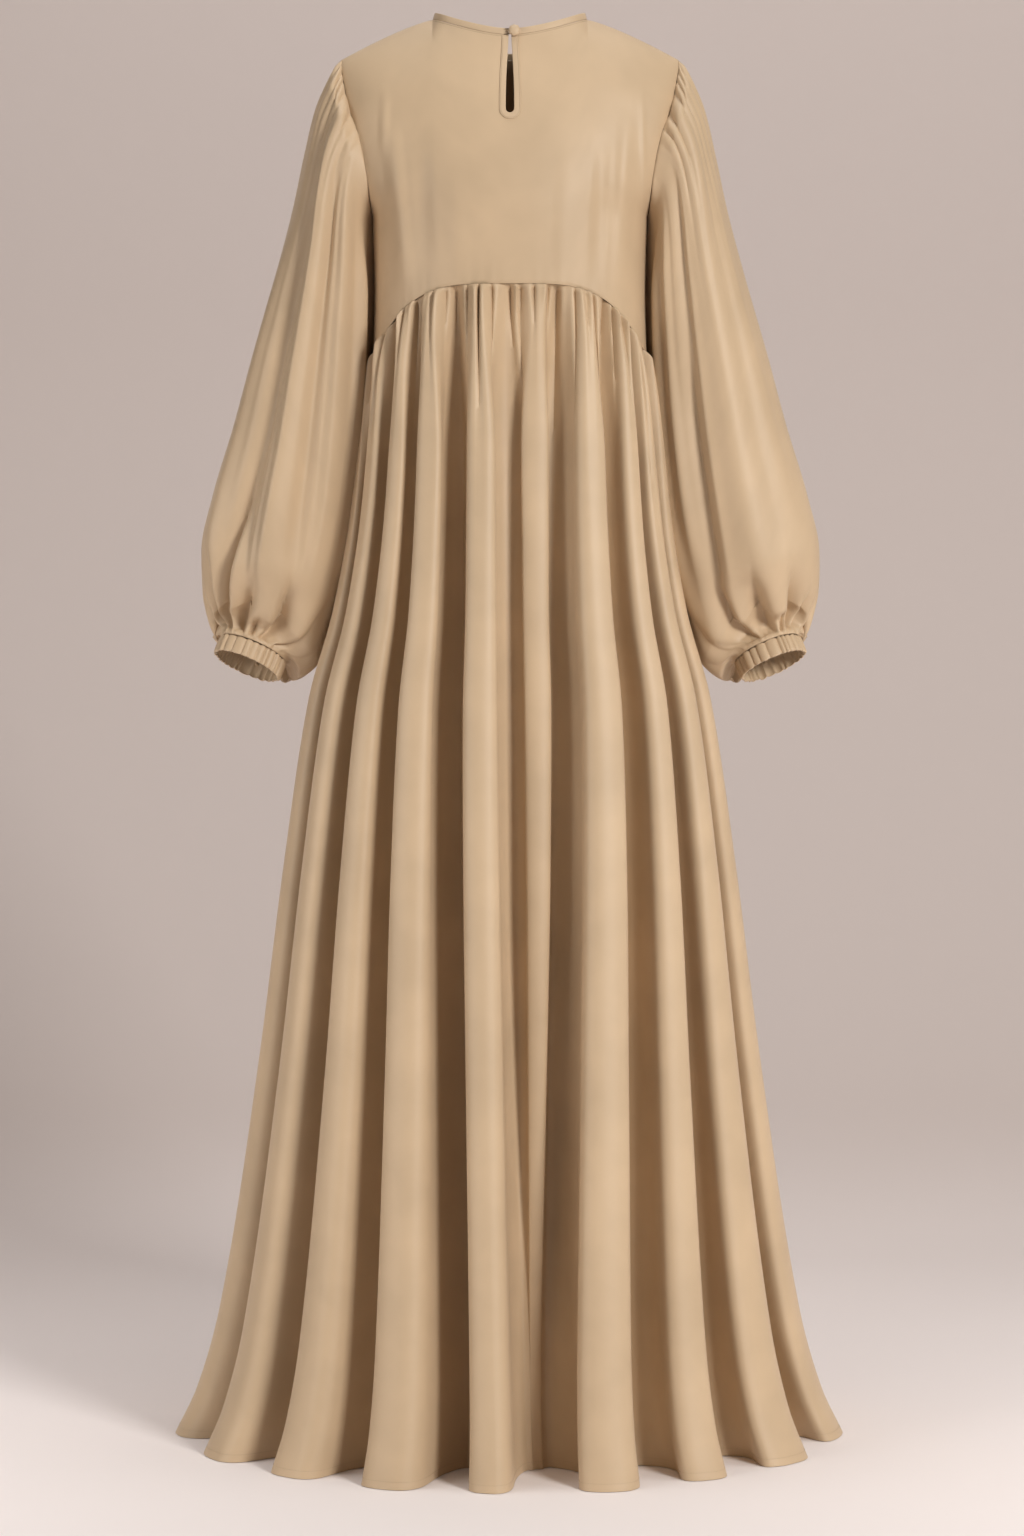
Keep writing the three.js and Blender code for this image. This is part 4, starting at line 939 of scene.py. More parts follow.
def button_mesh():
    """A cloth-covered domed button on a thread shank."""
    seat, facing, up = button_frame()
    profile = [(SHANK_RADIUS * 0.9, 0.0), (SHANK_RADIUS * 0.75, SHANK_LENGTH * 0.5)]
    profile.append((SHANK_RADIUS, SHANK_LENGTH))
    profile += [(BUTTON_RADIUS - inset, SHANK_LENGTH + height) for inset, height in BUTTON_PROFILE[:-1]]
    sides = 72
    turn = np.linspace(0, 2 * math.pi, sides, endpoint=False)
    points = [seat]
    for i, (radius, height) in enumerate(profile):
        tuck = 1 + (0.035 * np.sin(9 * turn + 0.6) * (0 < i - 2 < 5))
        across = np.outer(np.cos(turn) * radius * tuck, (1.0, 0, 0))
        ring = across + np.outer(np.sin(turn) * radius * tuck, up)
        points.extend(seat + ring + facing * height)
    points.append(seat + facing * (SHANK_LENGTH + BUTTON_PROFILE[-1][1]))
    faces, last = [], len(points) - 1
    for c in range(sides):
        n = (c + 1) % sides
        faces.append((0, 1 + n, 1 + c))
        for r in range(len(profile) - 1):
            a = 1 + r * sides
            faces.append((a + c, a + n, a + sides + n, a + sides + c))
        top = 1 + (len(profile) - 1) * sides
        faces.append((top + c, top + n, last))
    points = np.array(points)
    local = points - seat
    uvs = [(local[v, 0] * MM, float(local[v] @ up) * MM) for face in faces for v in face]
    return turned_out(make_mesh("button_shell", points, faces, uvs))


def loop_path():
    """The cord from its sewn end, round the shank and back."""
    seat, facing, up = button_frame()
    around = SHANK_RADIUS + LOOP_GAP + LOOP_RADIUS
    middle = seat + facing * SHANK_LENGTH / 2
    turn = np.linspace(0.5 * math.pi, 1.5 * math.pi, 30)
    arc = middle + np.outer(np.cos(turn), (around, 0, 0)) + np.outer(np.sin(turn), up * around)
    start = middle + (LOOP_REACH, 0, 0) + up * around
    end = middle + (LOOP_REACH, 0, 0) - up * around
    return np.concatenate(([start], [(start + arc[0]) / 2], arc, [(end + arc[-1]) / 2], [end]))


# ---- Materials ----

def node(tree, kind, place_at, **settings):
    made = tree.nodes.new(kind)
    made.location = place_at
    for key, value in settings.items():
        if key in made.inputs:
            made.inputs[key].default_value = value
        else:
            setattr(made, key, value)
    return made


def new_material(name):
    if name in bpy.data.materials:
        raise RuntimeError(f"a material is already named {name}")
    material = bpy.data.materials.new(name)
    material.use_nodes = True
    return material


def cloth_material(name, colour, rough, sheen, thread, slub):
    """Satin crepe: twisted threads in a fine even weave, with a soft sheen and faint slubs."""
    material = new_material(name)
    tree = material.node_tree
    tree.nodes.clear()
    link = tree.links.new
    out = node(tree, "ShaderNodeOutputMaterial", (900, 0))
    shader = node(tree, "ShaderNodeBsdfPrincipled", (600, 0), Roughness=rough, IOR=1.46)
    shader.inputs["Sheen Weight"].default_value = sheen
    shader.inputs["Sheen Roughness"].default_value = 0.35
    shader.inputs["Sheen Tint"].default_value = (1.0, 0.9, 0.76, 1)
    shader.inputs["Specular IOR Level"].default_value = 0.42
    link(shader.outputs["BSDF"], out.inputs["Surface"])
    uv = node(tree, "ShaderNodeUVMap", (-900, 0), uv_map="Cloth")
    warp = node(tree, "ShaderNodeTexWave", (-600, 200), wave_type="BANDS", bands_direction="X",
                Scale=math.pi / 10 / thread, Distortion=1.2, Detail=1.0)
    warp.inputs["Detail Scale"].default_value = 2.0
    weft = node(tree, "ShaderNodeTexWave", (-600, -100), wave_type="BANDS", bands_direction="Y",
                Scale=math.pi / 10 / (thread * 1.15), Distortion=1.6, Detail=1.0)
    weft.inputs["Detail Scale"].default_value = 2.0
    grain = node(tree, "ShaderNodeTexNoise", (-600, -400), Scale=0.8 / thread, Detail=3.0, Roughness=0.6)
    cloud = node(tree, "ShaderNodeTexNoise", (-600, 500), Scale=9.0, Detail=3.0, Roughness=0.55)
    stretch = node(tree, "ShaderNodeMapping", (-750, -650))
    stretch.inputs["Scale"].default_value = (900.0, 14.0, 1.0)
    slubs = node(tree, "ShaderNodeTexNoise", (-600, -650), Scale=1.0, Detail=2.0)
    for texture in (warp, weft, grain, cloud):
        link(uv.outputs["UV"], texture.inputs["Vector"])
    link(uv.outputs["UV"], stretch.inputs["Vector"])
    link(stretch.outputs["Vector"], slubs.inputs["Vector"])
    weave = node(tree, "ShaderNodeMath", (-350, 50), operation="MAXIMUM")
    link(warp.outputs["Fac"], weave.inputs[0])
    link(weft.outputs["Fac"], weave.inputs[1])
    crepe = node(tree, "ShaderNodeMath", (-150, -100), operation="MULTIPLY_ADD")
    link(grain.outputs["Fac"], crepe.inputs[0])
    crepe.inputs[1].default_value = 0.9
    link(weave.outputs[0], crepe.inputs[2])
    slubbed = node(tree, "ShaderNodeMath", (50, -200), operation="MULTIPLY_ADD")
    link(slubs.outputs["Fac"], slubbed.inputs[0])
    slubbed.inputs[1].default_value = slub
    link(crepe.outputs[0], slubbed.inputs[2])
    bump_node = node(tree, "ShaderNodeBump", (350, -250), Strength=0.22, Distance=0.00012)
    link(slubbed.outputs[0], bump_node.inputs["Height"])
    link(bump_node.outputs["Normal"], shader.inputs["Normal"])
    dark = tuple(c * 0.93 for c in colour) + (1,)
    light = tuple(min(c * 1.05, 1) for c in colour) + (1,)
    tint = node(tree, "ShaderNodeMix", (100, 350), data_type="RGBA")
    tint.inputs[6].default_value, tint.inputs[7].default_value = dark, light
    tone = node(tree, "ShaderNodeMapRange", (-150, 400))
    tone.inputs["From Min"].default_value, tone.inputs["From Max"].default_value = 0.35, 0.65
    link(cloud.outputs["Fac"], tone.inputs["Value"])
    link(tone.outputs["Result"], tint.inputs[0])
    threads = node(tree, "ShaderNodeMix", (350, 250), data_type="RGBA", blend_type="MULTIPLY")
    threads.inputs[0].default_value = 0.10
    link(tint.outputs[2], threads.inputs[6])
    link(crepe.outputs[0], threads.inputs[7])
    link(threads.outputs[2], shader.inputs["Base Color"])
    gloss = node(tree, "ShaderNodeMapRange", (100, 100))
    gloss.inputs["To Min"].default_value, gloss.inputs["To Max"].default_value = rough - 0.04, rough + 0.05
    link(grain.outputs["Fac"], gloss.inputs["Value"])
    link(gloss.outputs["Result"], shader.inputs["Roughness"])
    return material


def cord_material(name, colour, rough, twist):
    """Twisted thread or cord, on the object's own coordinates."""
    material = new_material(name)
    tree = material.node_tree
    shader = tree.nodes["Principled BSDF"]
    shader.inputs["Roughness"].default_value = rough
    shader.inputs["Sheen Weight"].default_value = 0.15
    place_at = node(tree, "ShaderNodeTexCoord", (-900, 0))
    wave = node(tree, "ShaderNodeTexWave", (-650, 0), wave_type="BANDS", bands_direction="DIAGONAL",
                Scale=twist, Distortion=0.5)
    tree.links.new(place_at.outputs["Object"], wave.inputs["Vector"])
    ramp = node(tree, "ShaderNodeMix", (-350, 150), data_type="RGBA")
    ramp.inputs[6].default_value = tuple(c * 0.72 for c in colour) + (1,)
    ramp.inputs[7].default_value = tuple(colour) + (1,)
    tree.links.new(wave.outputs["Fac"], ramp.inputs[0])
    tree.links.new(ramp.outputs[2], shader.inputs["Base Color"])
    bump_node = node(tree, "ShaderNodeBump", (-350, -200), Strength=0.4, Distance=0.0001)
    tree.links.new(wave.outputs["Fac"], bump_node.inputs["Height"])
    tree.links.new(bump_node.outputs["Normal"], shader.inputs["Normal"])
    return material


def stage_material(name, near, far, floor_level, clear_behind=False):
    """A sweep whose colour darkens from the floor to the wall as painted shade, and can be seen through from
    behind.
    """
    material = new_material(name)
    tree = material.node_tree
    shader = tree.nodes["Principled BSDF"]
    shader.inputs["Roughness"].default_value = 0.85
    shader.inputs["Specular IOR Level"].default_value = 0.1
    place_at = node(tree, "ShaderNodeTexCoord", (-1100, 0))
    parts = node(tree, "ShaderNodeSeparateXYZ", (-900, 0))
    height = node(tree, "ShaderNodeMath", (-700, -150), operation="SUBTRACT")
    height.inputs[1].default_value = floor_level
    rise = node(tree, "ShaderNodeMath", (-500, -150), operation="MULTIPLY")
    rise.inputs[1].default_value = 6.0
    distance = node(tree, "ShaderNodeMath", (-300, 0), operation="SUBTRACT")
    # Painted shade: the colour fades from the floor tone to the darker wall tone going up and back from the
    # floor.
    fade = node(tree, "ShaderNodeMapRange", (-100, 0), interpolation_type="SMOOTHSTEP")
    fade.inputs["From Min"].default_value, fade.inputs["From Max"].default_value = SWEEP_SHADE_FADE
    tone = node(tree, "ShaderNodeMix", (100, 100), data_type="RGBA")
    tone.inputs[6].default_value, tone.inputs[7].default_value = tuple(near) + (1,), tuple(far) + (1,)
    tree.links.new(place_at.outputs["Object"], parts.inputs[0])
    tree.links.new(parts.outputs["Z"], height.inputs[0])
    tree.links.new(height.outputs[0], rise.inputs[0])
    tree.links.new(rise.outputs[0], distance.inputs[0])
    tree.links.new(parts.outputs["Y"], distance.inputs[1])
    tree.links.new(distance.outputs[0], fade.inputs["Value"])
    tree.links.new(fade.outputs["Result"], tone.inputs[0])
    tree.links.new(tone.outputs[2], shader.inputs["Base Color"])
    if clear_behind:
        out = tree.nodes["Material Output"]
        side = node(tree, "ShaderNodeNewGeometry", (100, 400))
        clear = node(tree, "ShaderNodeBsdfTransparent", (300, -400))
        choose = node(tree, "ShaderNodeMixShader", (500, 100))
        tree.links.new(side.outputs["Backfacing"], choose.inputs[0])
        tree.links.new(shader.outputs["BSDF"], choose.inputs[1])
        tree.links.new(clear.outputs["BSDF"], choose.inputs[2])
        tree.links.new(choose.outputs[0], out.inputs["Surface"])
    return material


# ---- Geometry Nodes ----

def new_tree(name, **inputs):
    tree = bpy.data.node_groups.new(name, "GeometryNodeTree")
    tree.interface.new_socket("Geometry", in_out="INPUT", socket_type="NodeSocketGeometry")
    sockets = {}
    for label, (kind, value) in inputs.items():
        socket = tree.interface.new_socket(label.replace("_", " "), in_out="INPUT", socket_type=kind)
        if value is not None:
            socket.default_value = value
        sockets[label] = socket.identifier
    tree.interface.new_socket("Geometry", in_out="OUTPUT", socket_type="NodeSocketGeometry")
    return tree, sockets


def stitch_tree():
    """Stitches of one length, evenly along a path and turned with it."""
    tree, sockets = new_tree(
        "Stitches along a path",
        Spacing=("NodeSocketFloat", 0.003), Length=("NodeSocketFloat", 0.002),
        Thickness=("NodeSocketFloat", 0.0005), Thread=("NodeSocketMaterial", None),
    )
    link = tree.links.new
    start = node(tree, "NodeGroupInput", (-900, 0))
    end = node(tree, "NodeGroupOutput", (900, 0))
    points = node(tree, "GeometryNodeResampleCurve", (-600, 100), mode="LENGTH")
    link(start.outputs["Geometry"], points.inputs["Curve"])
    link(start.outputs["Spacing"], points.inputs["Length"])
    ball = node(tree, "GeometryNodeMeshIcoSphere", (-600, -200), Radius=0.5, Subdivisions=1)
    size = node(tree, "ShaderNodeCombineXYZ", (-600, -400))
    link(start.outputs["Thickness"], size.inputs["X"])
    link(start.outputs["Thickness"], size.inputs["Y"])
    link(start.outputs["Length"], size.inputs["Z"])
    shape = node(tree, "GeometryNodeTransform", (-350, -200))
    link(ball.outputs["Mesh"], shape.inputs["Geometry"])
    link(size.outputs["Vector"], shape.inputs["Scale"])
    way = node(tree, "GeometryNodeInputTangent", (-600, -600))
    turn = node(tree, "FunctionNodeAlignRotationToVector", (-350, -500), axis="Z")
    link(way.outputs["Tangent"], turn.inputs["Vector"])
    uneven = node(tree, "FunctionNodeRandomValue", (-350, -750), data_type="FLOAT")
    uneven.inputs[2].default_value, uneven.inputs[3].default_value = 0.88, 1.06
    uneven.inputs["Seed"].default_value = 4
    copies = node(tree, "GeometryNodeInstanceOnPoints", (-50, 0))
    link(points.outputs["Curve"], copies.inputs["Points"])
    link(shape.outputs["Geometry"], copies.inputs["Instance"])
    link(turn.outputs["Rotation"], copies.inputs["Rotation"])
    link(uneven.outputs[1], copies.inputs["Scale"])
    real = node(tree, "GeometryNodeRealizeInstances", (200, 0))
    round_off = node(tree, "GeometryNodeSetShadeSmooth", (400, 0))
    finish = node(tree, "GeometryNodeSetMaterial", (650, 0))
    link(copies.outputs["Instances"], real.inputs["Geometry"])
    link(real.outputs["Geometry"], round_off.inputs["Geometry"])
    link(round_off.outputs["Geometry"], finish.inputs["Geometry"])
    link(start.outputs["Thread"], finish.inputs["Material"])
    link(finish.outputs["Geometry"], end.inputs["Geometry"])
    return tree, sockets


def cord_tree():
    """A round cord along a path, with closed ends."""
    tree, sockets = new_tree(
        "Cord along a path",
        Radius=("NodeSocketFloat", 0.0007), Sides=("NodeSocketInt", 14), Cord=("NodeSocketMaterial", None),
    )
    link = tree.links.new
    start = node(tree, "NodeGroupInput", (-900, 0))
    end = node(tree, "NodeGroupOutput", (900, 0))
    points = node(tree, "GeometryNodeResampleCurve", (-600, 100), mode="LENGTH", Length=0.0003)
    section = node(tree, "GeometryNodeCurvePrimitiveCircle", (-600, -200))
    tube = node(tree, "GeometryNodeCurveToMesh", (-200, 0))
    tube.inputs["Fill Caps"].default_value = True
    real = node(tree, "GeometryNodeRealizeInstances", (100, 0))
    round_off = node(tree, "GeometryNodeSetShadeSmooth", (300, 0))
    finish = node(tree, "GeometryNodeSetMaterial", (550, 0))
    link(start.outputs["Geometry"], points.inputs["Curve"])
    link(start.outputs["Radius"], section.inputs["Radius"])
    link(start.outputs["Sides"], section.inputs["Resolution"])
    link(points.outputs["Curve"], tube.inputs["Curve"])
    link(section.outputs["Curve"], tube.inputs["Profile Curve"])
    link(tube.outputs["Mesh"], real.inputs["Geometry"])
    link(real.outputs["Geometry"], round_off.inputs["Geometry"])
    link(round_off.outputs["Geometry"], finish.inputs["Geometry"])
    link(start.outputs["Cord"], finish.inputs["Material"])
    link(finish.outputs["Geometry"], end.inputs["Geometry"])
    return tree, sockets


def along_paths(name, paths, tree, sockets, **values):
    """The plain mesh that a node tree makes along paths given in millimetres."""
    curve = bpy.data.curves.new(name, "CURVE")
    curve.dimensions = "3D"
    for path in paths:
        spline = curve.splines.new("POLY")
        spline.points.add(len(path) - 1)
        coordinates = np.concatenate((np.asarray(path) * MM, np.ones((len(path), 1))), axis=1)
        spline.points.foreach_set("co", coordinates.astype(np.float32).ravel())
    guide = bpy.data.objects.new(name, curve)
    bpy.context.scene.collection.objects.link(guide)
    modifier = guide.modifiers.new("Nodes", "NODES")
    modifier.node_group = tree
    for key, value in values.items():
        modifier[sockets[key]] = value
    evaluated = guide.evaluated_get(bpy.context.evaluated_depsgraph_get())
    mesh = bpy.data.meshes.new_from_object(evaluated)
    guide.modifiers.remove(modifier)
    bpy.data.objects.remove(guide)
    bpy.data.curves.remove(curve)
    if not mesh.polygons:
        raise RuntimeError(f"{name} has no faces")
    mesh.name = name
    return mesh


# ---- Paths of the stitches ----

def hem_stitch_path(face, sizes):
    """A line on the skirt at the height of the hem's turned edge."""
    top_share = 1 - sizes.hem_turn / MM / SKIRT_LENGTH
    down = np.array((top_share - 0.0006, top_share, top_share + 0.0006))
    grid = skirt_grid(face, skirt_columns(face, 60), down, sizes.gather_depth / MM, sizes.gather_fade / MM)
    normals, _ = grid_normals(grid, grid * (0, 0, 1))
    path = (grid[1] + normals[1] * 0.12)[3:-3]
    path[:, 2] = HEM + sizes.hem_turn / MM
    return resample(path, 2400)[0]


def neck_stitch_path():
    """Lines under the neck binding, which stop beside the keyhole and at the centre front."""
    points, _ = neck_path(1200)
    z = points[:, 2] - NECK_STITCH_DROP
    x = points[:, 0]
    back = points[:, 1] > 0
    depth = np.where(back, torso_depth("back", x, z), -torso_depth("front", x, z))
    path = np.stack((x, depth + np.sign(depth) * 0.1, z), axis=1)
    kept = np.abs(x) > NECK_STITCH_START
    parts = np.split(path, np.flatnonzero(np.diff(kept.astype(int))) + 1)
    return [part for part in parts if abs(part[0, 0]) > NECK_STITCH_START and len(part) > 4]


def keyhole_stitch_path():
    """The line along the keyhole binding's outer edge."""
    points, along = keyhole_outline(400)
    x = points[:, 0] - along[:, 1] * BINDING_WIDTH * BINDING_STITCHES
    z = points[:, 1] + along[:, 0] * BINDING_WIDTH * BINDING_STITCHES
    y = torso_depth("back", x, z) + SEAM_GAP + BINDING_WALL - 0.2
    return np.stack((x, y, z), axis=1)[8:-8]


# ---- Settings ----

class AbayaSizes(bpy.types.PropertyGroup):
    cloth: bpy.props.FloatProperty(
        name="Cloth", description="Thickness of the cloth", default=0.0008, min=0.0004, max=0.0014,
        subtype="DISTANCE", unit="LENGTH", precision=4)
    gather_depth: bpy.props.FloatProperty(
        name="Gather depth", description="Height of a gather under the empire seam", default=0.0052,
        min=0, max=0.006, subtype="DISTANCE", unit="LENGTH", precision=4)
    gather_fade: bpy.props.FloatProperty(
        name="Gather fade", description="How far down the skirt most gathers die away", default=0.085,
        min=0.02, max=0.3, subtype="DISTANCE", unit="LENGTH")
    columns_per_fold: bpy.props.IntProperty(
        name="Columns a fold", description="Columns of faces in each crest and trough", default=18,
        min=8, max=18)
    skirt_rows: bpy.props.IntProperty(
        name="Skirt rows", description="Rows of points down a skirt panel", default=132, min=40, max=132)
    sleeve_columns: bpy.props.IntProperty(
        name="Sleeve columns", description="Columns of faces round a sleeve", default=236, min=80, max=300)
    sleeve_rows: bpy.props.IntProperty(
        name="Sleeve rows", description="Rows of points down a sleeve", default=158, min=60, max=180)
    head_gathers: bpy.props.IntProperty(
        name="Head gathers", description="Gathers in the upper half of a sleeve's head", default=14,
        min=6, max=20)
    cuff_pleats: bpy.props.IntProperty(
        name="Cuff pleats", description="Short pleats just above each cuff", default=34, min=12, max=48)
    cuff_ruches: bpy.props.IntProperty(
        name="Cuff ruches", description="Ruches round each elastic casing", default=28, min=12, max=40)
    hem_turn: bpy.props.FloatProperty(
        name="Hem turning", description="Height of the hem's stitch line above its edge", default=0.008,
        min=0.004, max=0.02, subtype="DISTANCE", unit="LENGTH")
    stitch_spacing: bpy.props.FloatProperty(
        name="Stitch spacing", description="Distance from one stitch to the next", default=0.0029,
        min=0.0015, max=0.006, subtype="DISTANCE", unit="LENGTH", precision=4)
    stitch_length: bpy.props.FloatProperty(
        name="Stitch length", description="Length of the thread that shows", default=0.0021,
        min=0.001, max=0.005, subtype="DISTANCE", unit="LENGTH", precision=4)
    stitch_thickness: bpy.props.FloatProperty(
        name="Stitch thickness", description="Thickness of the thread", default=0.0005,
        min=0.0002, max=0.001, subtype="DISTANCE", unit="LENGTH", precision=4)


def colour_property(name, description, default):
    return bpy.props.FloatVectorProperty(
        name=name, description=description, default=default, size=3, min=0, max=1, subtype="COLOR")


class AbayaColours(bpy.types.PropertyGroup):
    crepe: colour_property("Crepe", "Colour of the satin crepe", (0.55, 0.405, 0.26))
    binding: colour_property("Binding", "Colour of the neck and keyhole bindings", (0.555, 0.41, 0.266))
    thread: colour_property("Thread", "Colour of the sewing thread", (0.22, 0.14, 0.075))
    hem_thread: colour_property("Hem thread", "Colour of the hem's thread", (0.42, 0.3, 0.18))
    cord: colour_property("Cord", "Colour of the button's loop", (0.2, 0.135, 0.075))
    floor: colour_property("Floor", "Colour of the studio floor", (0.82, 0.762, 0.748))
    # The wall tone is the floor's tone darkened as painted shade, which the sweep fades into away from the
    # floor.
    wall: colour_property("Wall", "Colour of the studio wall", (0.57, 0.5, 0.472))


# ---- Operators ----

class ABAYA_OT_stage(bpy.types.Operator):
    """Make the pale studio floor and wall, the soft lights and the camera"""
    bl_idname = "abaya.stage"
    bl_label = "Stage"

    def execute(self, context):
        colours = context.scene.abaya_colours
        scene = context.scene
        floor_level = HEM * MM - FLOOR_DROP
        # Both pieces of the sweep carry the painted shade that darkens from the floor tone to the wall tone.
        stage_material("studio_floor", colours.floor, colours.wall, floor_level)
        stage_material("studio_wall", colours.floor, colours.wall, floor_level, clear_behind=True)
        floor = bpy.data.meshes.new("studio_floor")
        far = FLOOR_REACH
        corners = [(x, y, floor_level) for x, y in ((-far, -far), (far, -far), (far, far), (-far, far))]
        floor.from_pydata(corners, [], [(0, 1, 2, 3)])
        turn = np.linspace(0, math.pi / 2, 49)
        foot = floor_level + SWEEP_LIFT
        line = [(SWEEP_START - SWEEP_BEND * math.sin(a), foot + SWEEP_BEND * (1 - math.cos(a))) for a in turn]
        line.append((line[-1][0], floor_level + SWEEP_HEIGHT))
        wall = bpy.data.meshes.new("studio_wall")
        corners = [(x, y, z) for y, z in line for x in (SWEEP_HALF_WIDTH, -SWEEP_HALF_WIDTH)]
        strips = [(2 * i, 2 * i + 1, 2 * i + 3, 2 * i + 2) for i in range(len(line) - 1)]
        wall.from_pydata(corners, [], strips)
        wall.polygons.foreach_set("use_smooth", [True] * len(wall.polygons))
        for mesh in (floor, wall):
            mesh.materials.append(bpy.data.materials[mesh.name])
            ground = bpy.data.objects.new(mesh.name, mesh)
            scene.collection.objects.link(ground)

        world = bpy.data.worlds.new("studio_air")
        world.use_nodes = True
        air = world.node_tree.nodes["Background"]
        air.inputs["Color"].default_value = AIR_COLOUR
        air.inputs["Strength"].default_value = AIR_STRENGTH
        scene.world = world
        for name, lamp in LAMPS.items():
            self.light(scene, name, *lamp)

        camera = bpy.data.cameras.new("camera")
        camera.sensor_width, camera.lens = 36.0, CAMERA_LENS
        camera.clip_start, camera.clip_end = 0.1, 60.0
        holder = bpy.data.objects.new("camera", camera)
        holder.location = CAMERA_PLACE
        holder.rotation_euler = (math.radians(90 - CAMERA_DIP), 0, math.radians(180))
        scene.collection.objects.link(holder)
        scene.camera = holder
        scene.view_settings.view_transform = "Standard"
        scene.view_settings.look = "None"
        return {"FINISHED"}

    def light(self, scene, name, place_at, towards, size, power, colour):
        lamp = bpy.data.lights.new(name, "AREA")
        lamp.shape, lamp.size, lamp.energy, lamp.color = "SQUARE", size, power, colour
        holder = bpy.data.objects.new(name, lamp)
        holder.location = place_at
        way = Vector(towards) - Vector(place_at)
        holder.rotation_euler = way.to_track_quat("-Z", "Y").to_euler()
        holder.visible_camera = False
        scene.collection.objects.link(holder)


class ABAYA_OT_finishes(bpy.types.Operator):
    """Make the crepe, binding, button, cord and thread finishes"""
    bl_idname = "abaya.finishes"
    bl_label = "Finishes"

    def execute(self, context):
        colours = context.scene.abaya_colours
        cloth_material("satin_crepe", colours.crepe, 0.46, 0.12, 0.00045, 0.25)
        cloth_material("binding_crepe", colours.binding, 0.48, 0.15, 0.00045, 0.1)
        cloth_material("covered_button", colours.binding, 0.42, 0.3, 0.0004, 0.1)
        cord_material("loop_cord", colours.cord, 0.6, 260.0)
        cord_material("thread", colours.thread, 0.55, 700.0)
        cord_material("hem_thread", colours.hem_thread, 0.55, 700.0)
        return {"FINISHED"}


class ABAYA_OT_bodice(bpy.types.Operator):
    """Make the back and front of the bodice, with the keyhole cut in the back"""
    bl_idname = "abaya.bodice"
    bl_label = "Bodice"

    def execute(self, context):
        thickness = context.scene.abaya_sizes.cloth / MM
        back_mesh = cut_keyhole(bodice_mesh("back", thickness))
        back = place("bodice_back_cloth", back_mesh, "satin_crepe", "crepe", "bodice_back")
        front_mesh = bodice_mesh("front", thickness)
        front = place("bodice_front_cloth", front_mesh, "satin_crepe", "crepe", "bodice_front")
        return {"FINISHED"}


class ABAYA_OT_skirt(bpy.types.Operator):
    """Make the gathered back and front of the skirt"""
    bl_idname = "abaya.skirt"
    bl_label = "Skirt"

    def execute(self, context):
        sizes = context.scene.abaya_sizes
        for face in ("back", "front"):
            mesh = skirt_mesh(face, sizes)
            panel = place(f"skirt_{face}_cloth", mesh, "satin_crepe", "crepe", f"skirt_{face}")
        return {"FINISHED"}


class ABAYA_OT_sleeves(bpy.types.Operator):
    """Make the bishop sleeves, gathered into the armholes and the cuffs"""
    bl_idname = "abaya.sleeves"
    bl_label = "Sleeves"

    def execute(self, context):
        sizes = context.scene.abaya_sizes
        for side in ("left", "right"):
            mesh = sleeve_mesh(side, sizes)
            sleeve = place(f"sleeve_{side}_cloth", mesh, "satin_crepe", "crepe", f"sleeve_{side}")
        return {"FINISHED"}


class ABAYA_OT_cuffs(bpy.types.Operator):
    """Make the elastic cuffs with their ruches"""
    bl_idname = "abaya.cuffs"
    bl_label = "Cuffs"

    def execute(self, context):
        sizes = context.scene.abaya_sizes
        for side in ("left", "right"):
            mesh = cuff_mesh(side, sizes)
            cuff = place(f"cuff_{side}_cloth", mesh, "satin_crepe", "crepe", f"cuff_{side}")
        return {"FINISHED"}


class ABAYA_OT_neck(bpy.types.Operator):
    """Make the neck binding and the keyhole's binding"""
    bl_idname = "abaya.neck"
    bl_label = "Neck and keyhole"

    def execute(self, context):
        band_mesh = neck_binding_mesh()
        band = place("neck_binding_cloth", band_mesh, "binding_crepe", "binding", "neck_binding")
        edge_mesh = keyhole_binding_mesh()
        edge = place("keyhole_binding_cloth", edge_mesh, "binding_crepe", "binding", "keyhole_binding")
        return {"FINISHED"}


class ABAYA_OT_button(bpy.types.Operator):
    """Make the covered button and its cord loop"""
    bl_idname = "abaya.button"
    bl_label = "Button and loop"

    def execute(self, context):
        place("button_cloth", button_mesh(), "covered_button", "button", "button")
        tree, sockets = cord_tree()
        mesh = along_paths(
            "button_loop_path", [loop_path()], tree, sockets, Radius=LOOP_RADIUS * MM, Sides=14,
            Cord=bpy.data.materials["loop_cord"])
        place("button_loop_cord", mesh, "loop_cord", "cord", "button_loop")
        return {"FINISHED"}


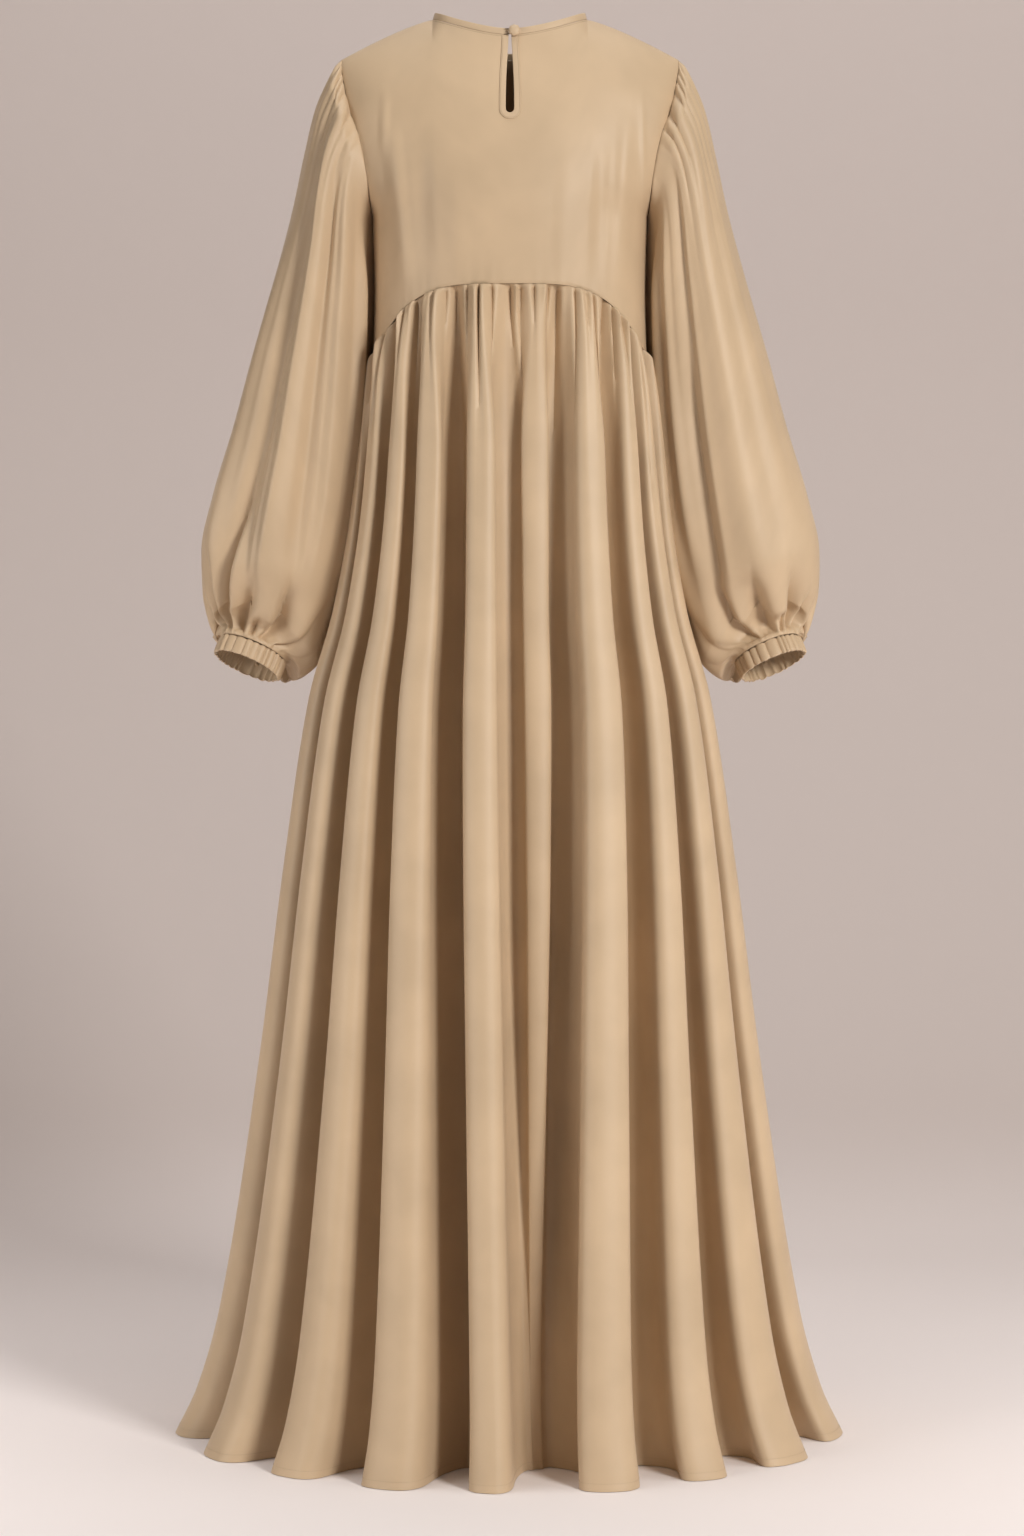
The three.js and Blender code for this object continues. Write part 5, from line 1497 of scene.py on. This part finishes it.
class ABAYA_OT_stitches(bpy.types.Operator):
    """Sew the stitch lines of the hem, the neck and the keyhole"""
    bl_idname = "abaya.stitches"
    bl_label = "Stitches"

    def execute(self, context):
        sizes = context.scene.abaya_sizes
        tree, sockets = stitch_tree()
        hem_paths = [hem_stitch_path(face, sizes) for face in ("back", "front")]
        lines = {
            "hem_stitches": ("hem_thread", "crepe", hem_paths, 1.0),
            "neck_stitches": ("thread", "binding", neck_stitch_path(), 0.9),
            "keyhole_stitches": ("thread", "binding", [keyhole_stitch_path()], 0.8),
        }
        for name, (thread, slot, paths, scale) in lines.items():
            mesh = along_paths(
                name + "_path", paths, tree, sockets, Spacing=sizes.stitch_spacing * scale,
                Length=sizes.stitch_length * scale, Thickness=sizes.stitch_thickness,
                Thread=bpy.data.materials[thread])
            place(name, mesh, thread, slot)
        return {"FINISHED"}


OPERATORS = (
    ABAYA_OT_stage, ABAYA_OT_finishes, ABAYA_OT_skirt, ABAYA_OT_bodice, ABAYA_OT_sleeves, ABAYA_OT_cuffs,
    ABAYA_OT_neck, ABAYA_OT_button, ABAYA_OT_stitches,
)


class ABAYA_PT_panel(bpy.types.Panel):
    """The abaya's sizes, colours and pieces"""
    bl_idname = "ABAYA_PT_panel"
    bl_label = "Abaya"
    bl_space_type = "VIEW_3D"
    bl_region_type = "UI"
    bl_category = "Abaya"

    def draw(self, context):
        for group in (context.scene.abaya_sizes, context.scene.abaya_colours):
            for key in group.__annotations__:
                self.layout.prop(group, key)
        for operator in OPERATORS:
            self.layout.operator(operator.bl_idname)


CLASSES = (AbayaSizes, AbayaColours, *OPERATORS, ABAYA_PT_panel)


def register():
    for made in CLASSES:
        bpy.utils.register_class(made)
    bpy.types.Scene.abaya_sizes = bpy.props.PointerProperty(type=AbayaSizes)
    bpy.types.Scene.abaya_colours = bpy.props.PointerProperty(type=AbayaColours)


def unregister():
    del bpy.types.Scene.abaya_colours
    del bpy.types.Scene.abaya_sizes
    for made in reversed(CLASSES):
        bpy.utils.unregister_class(made)


def main():
    register()
    for operator in OPERATORS:
        getattr(bpy.ops.abaya, operator.bl_idname.split(".")[1])()
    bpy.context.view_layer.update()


if __name__ == "__main__":
    main()
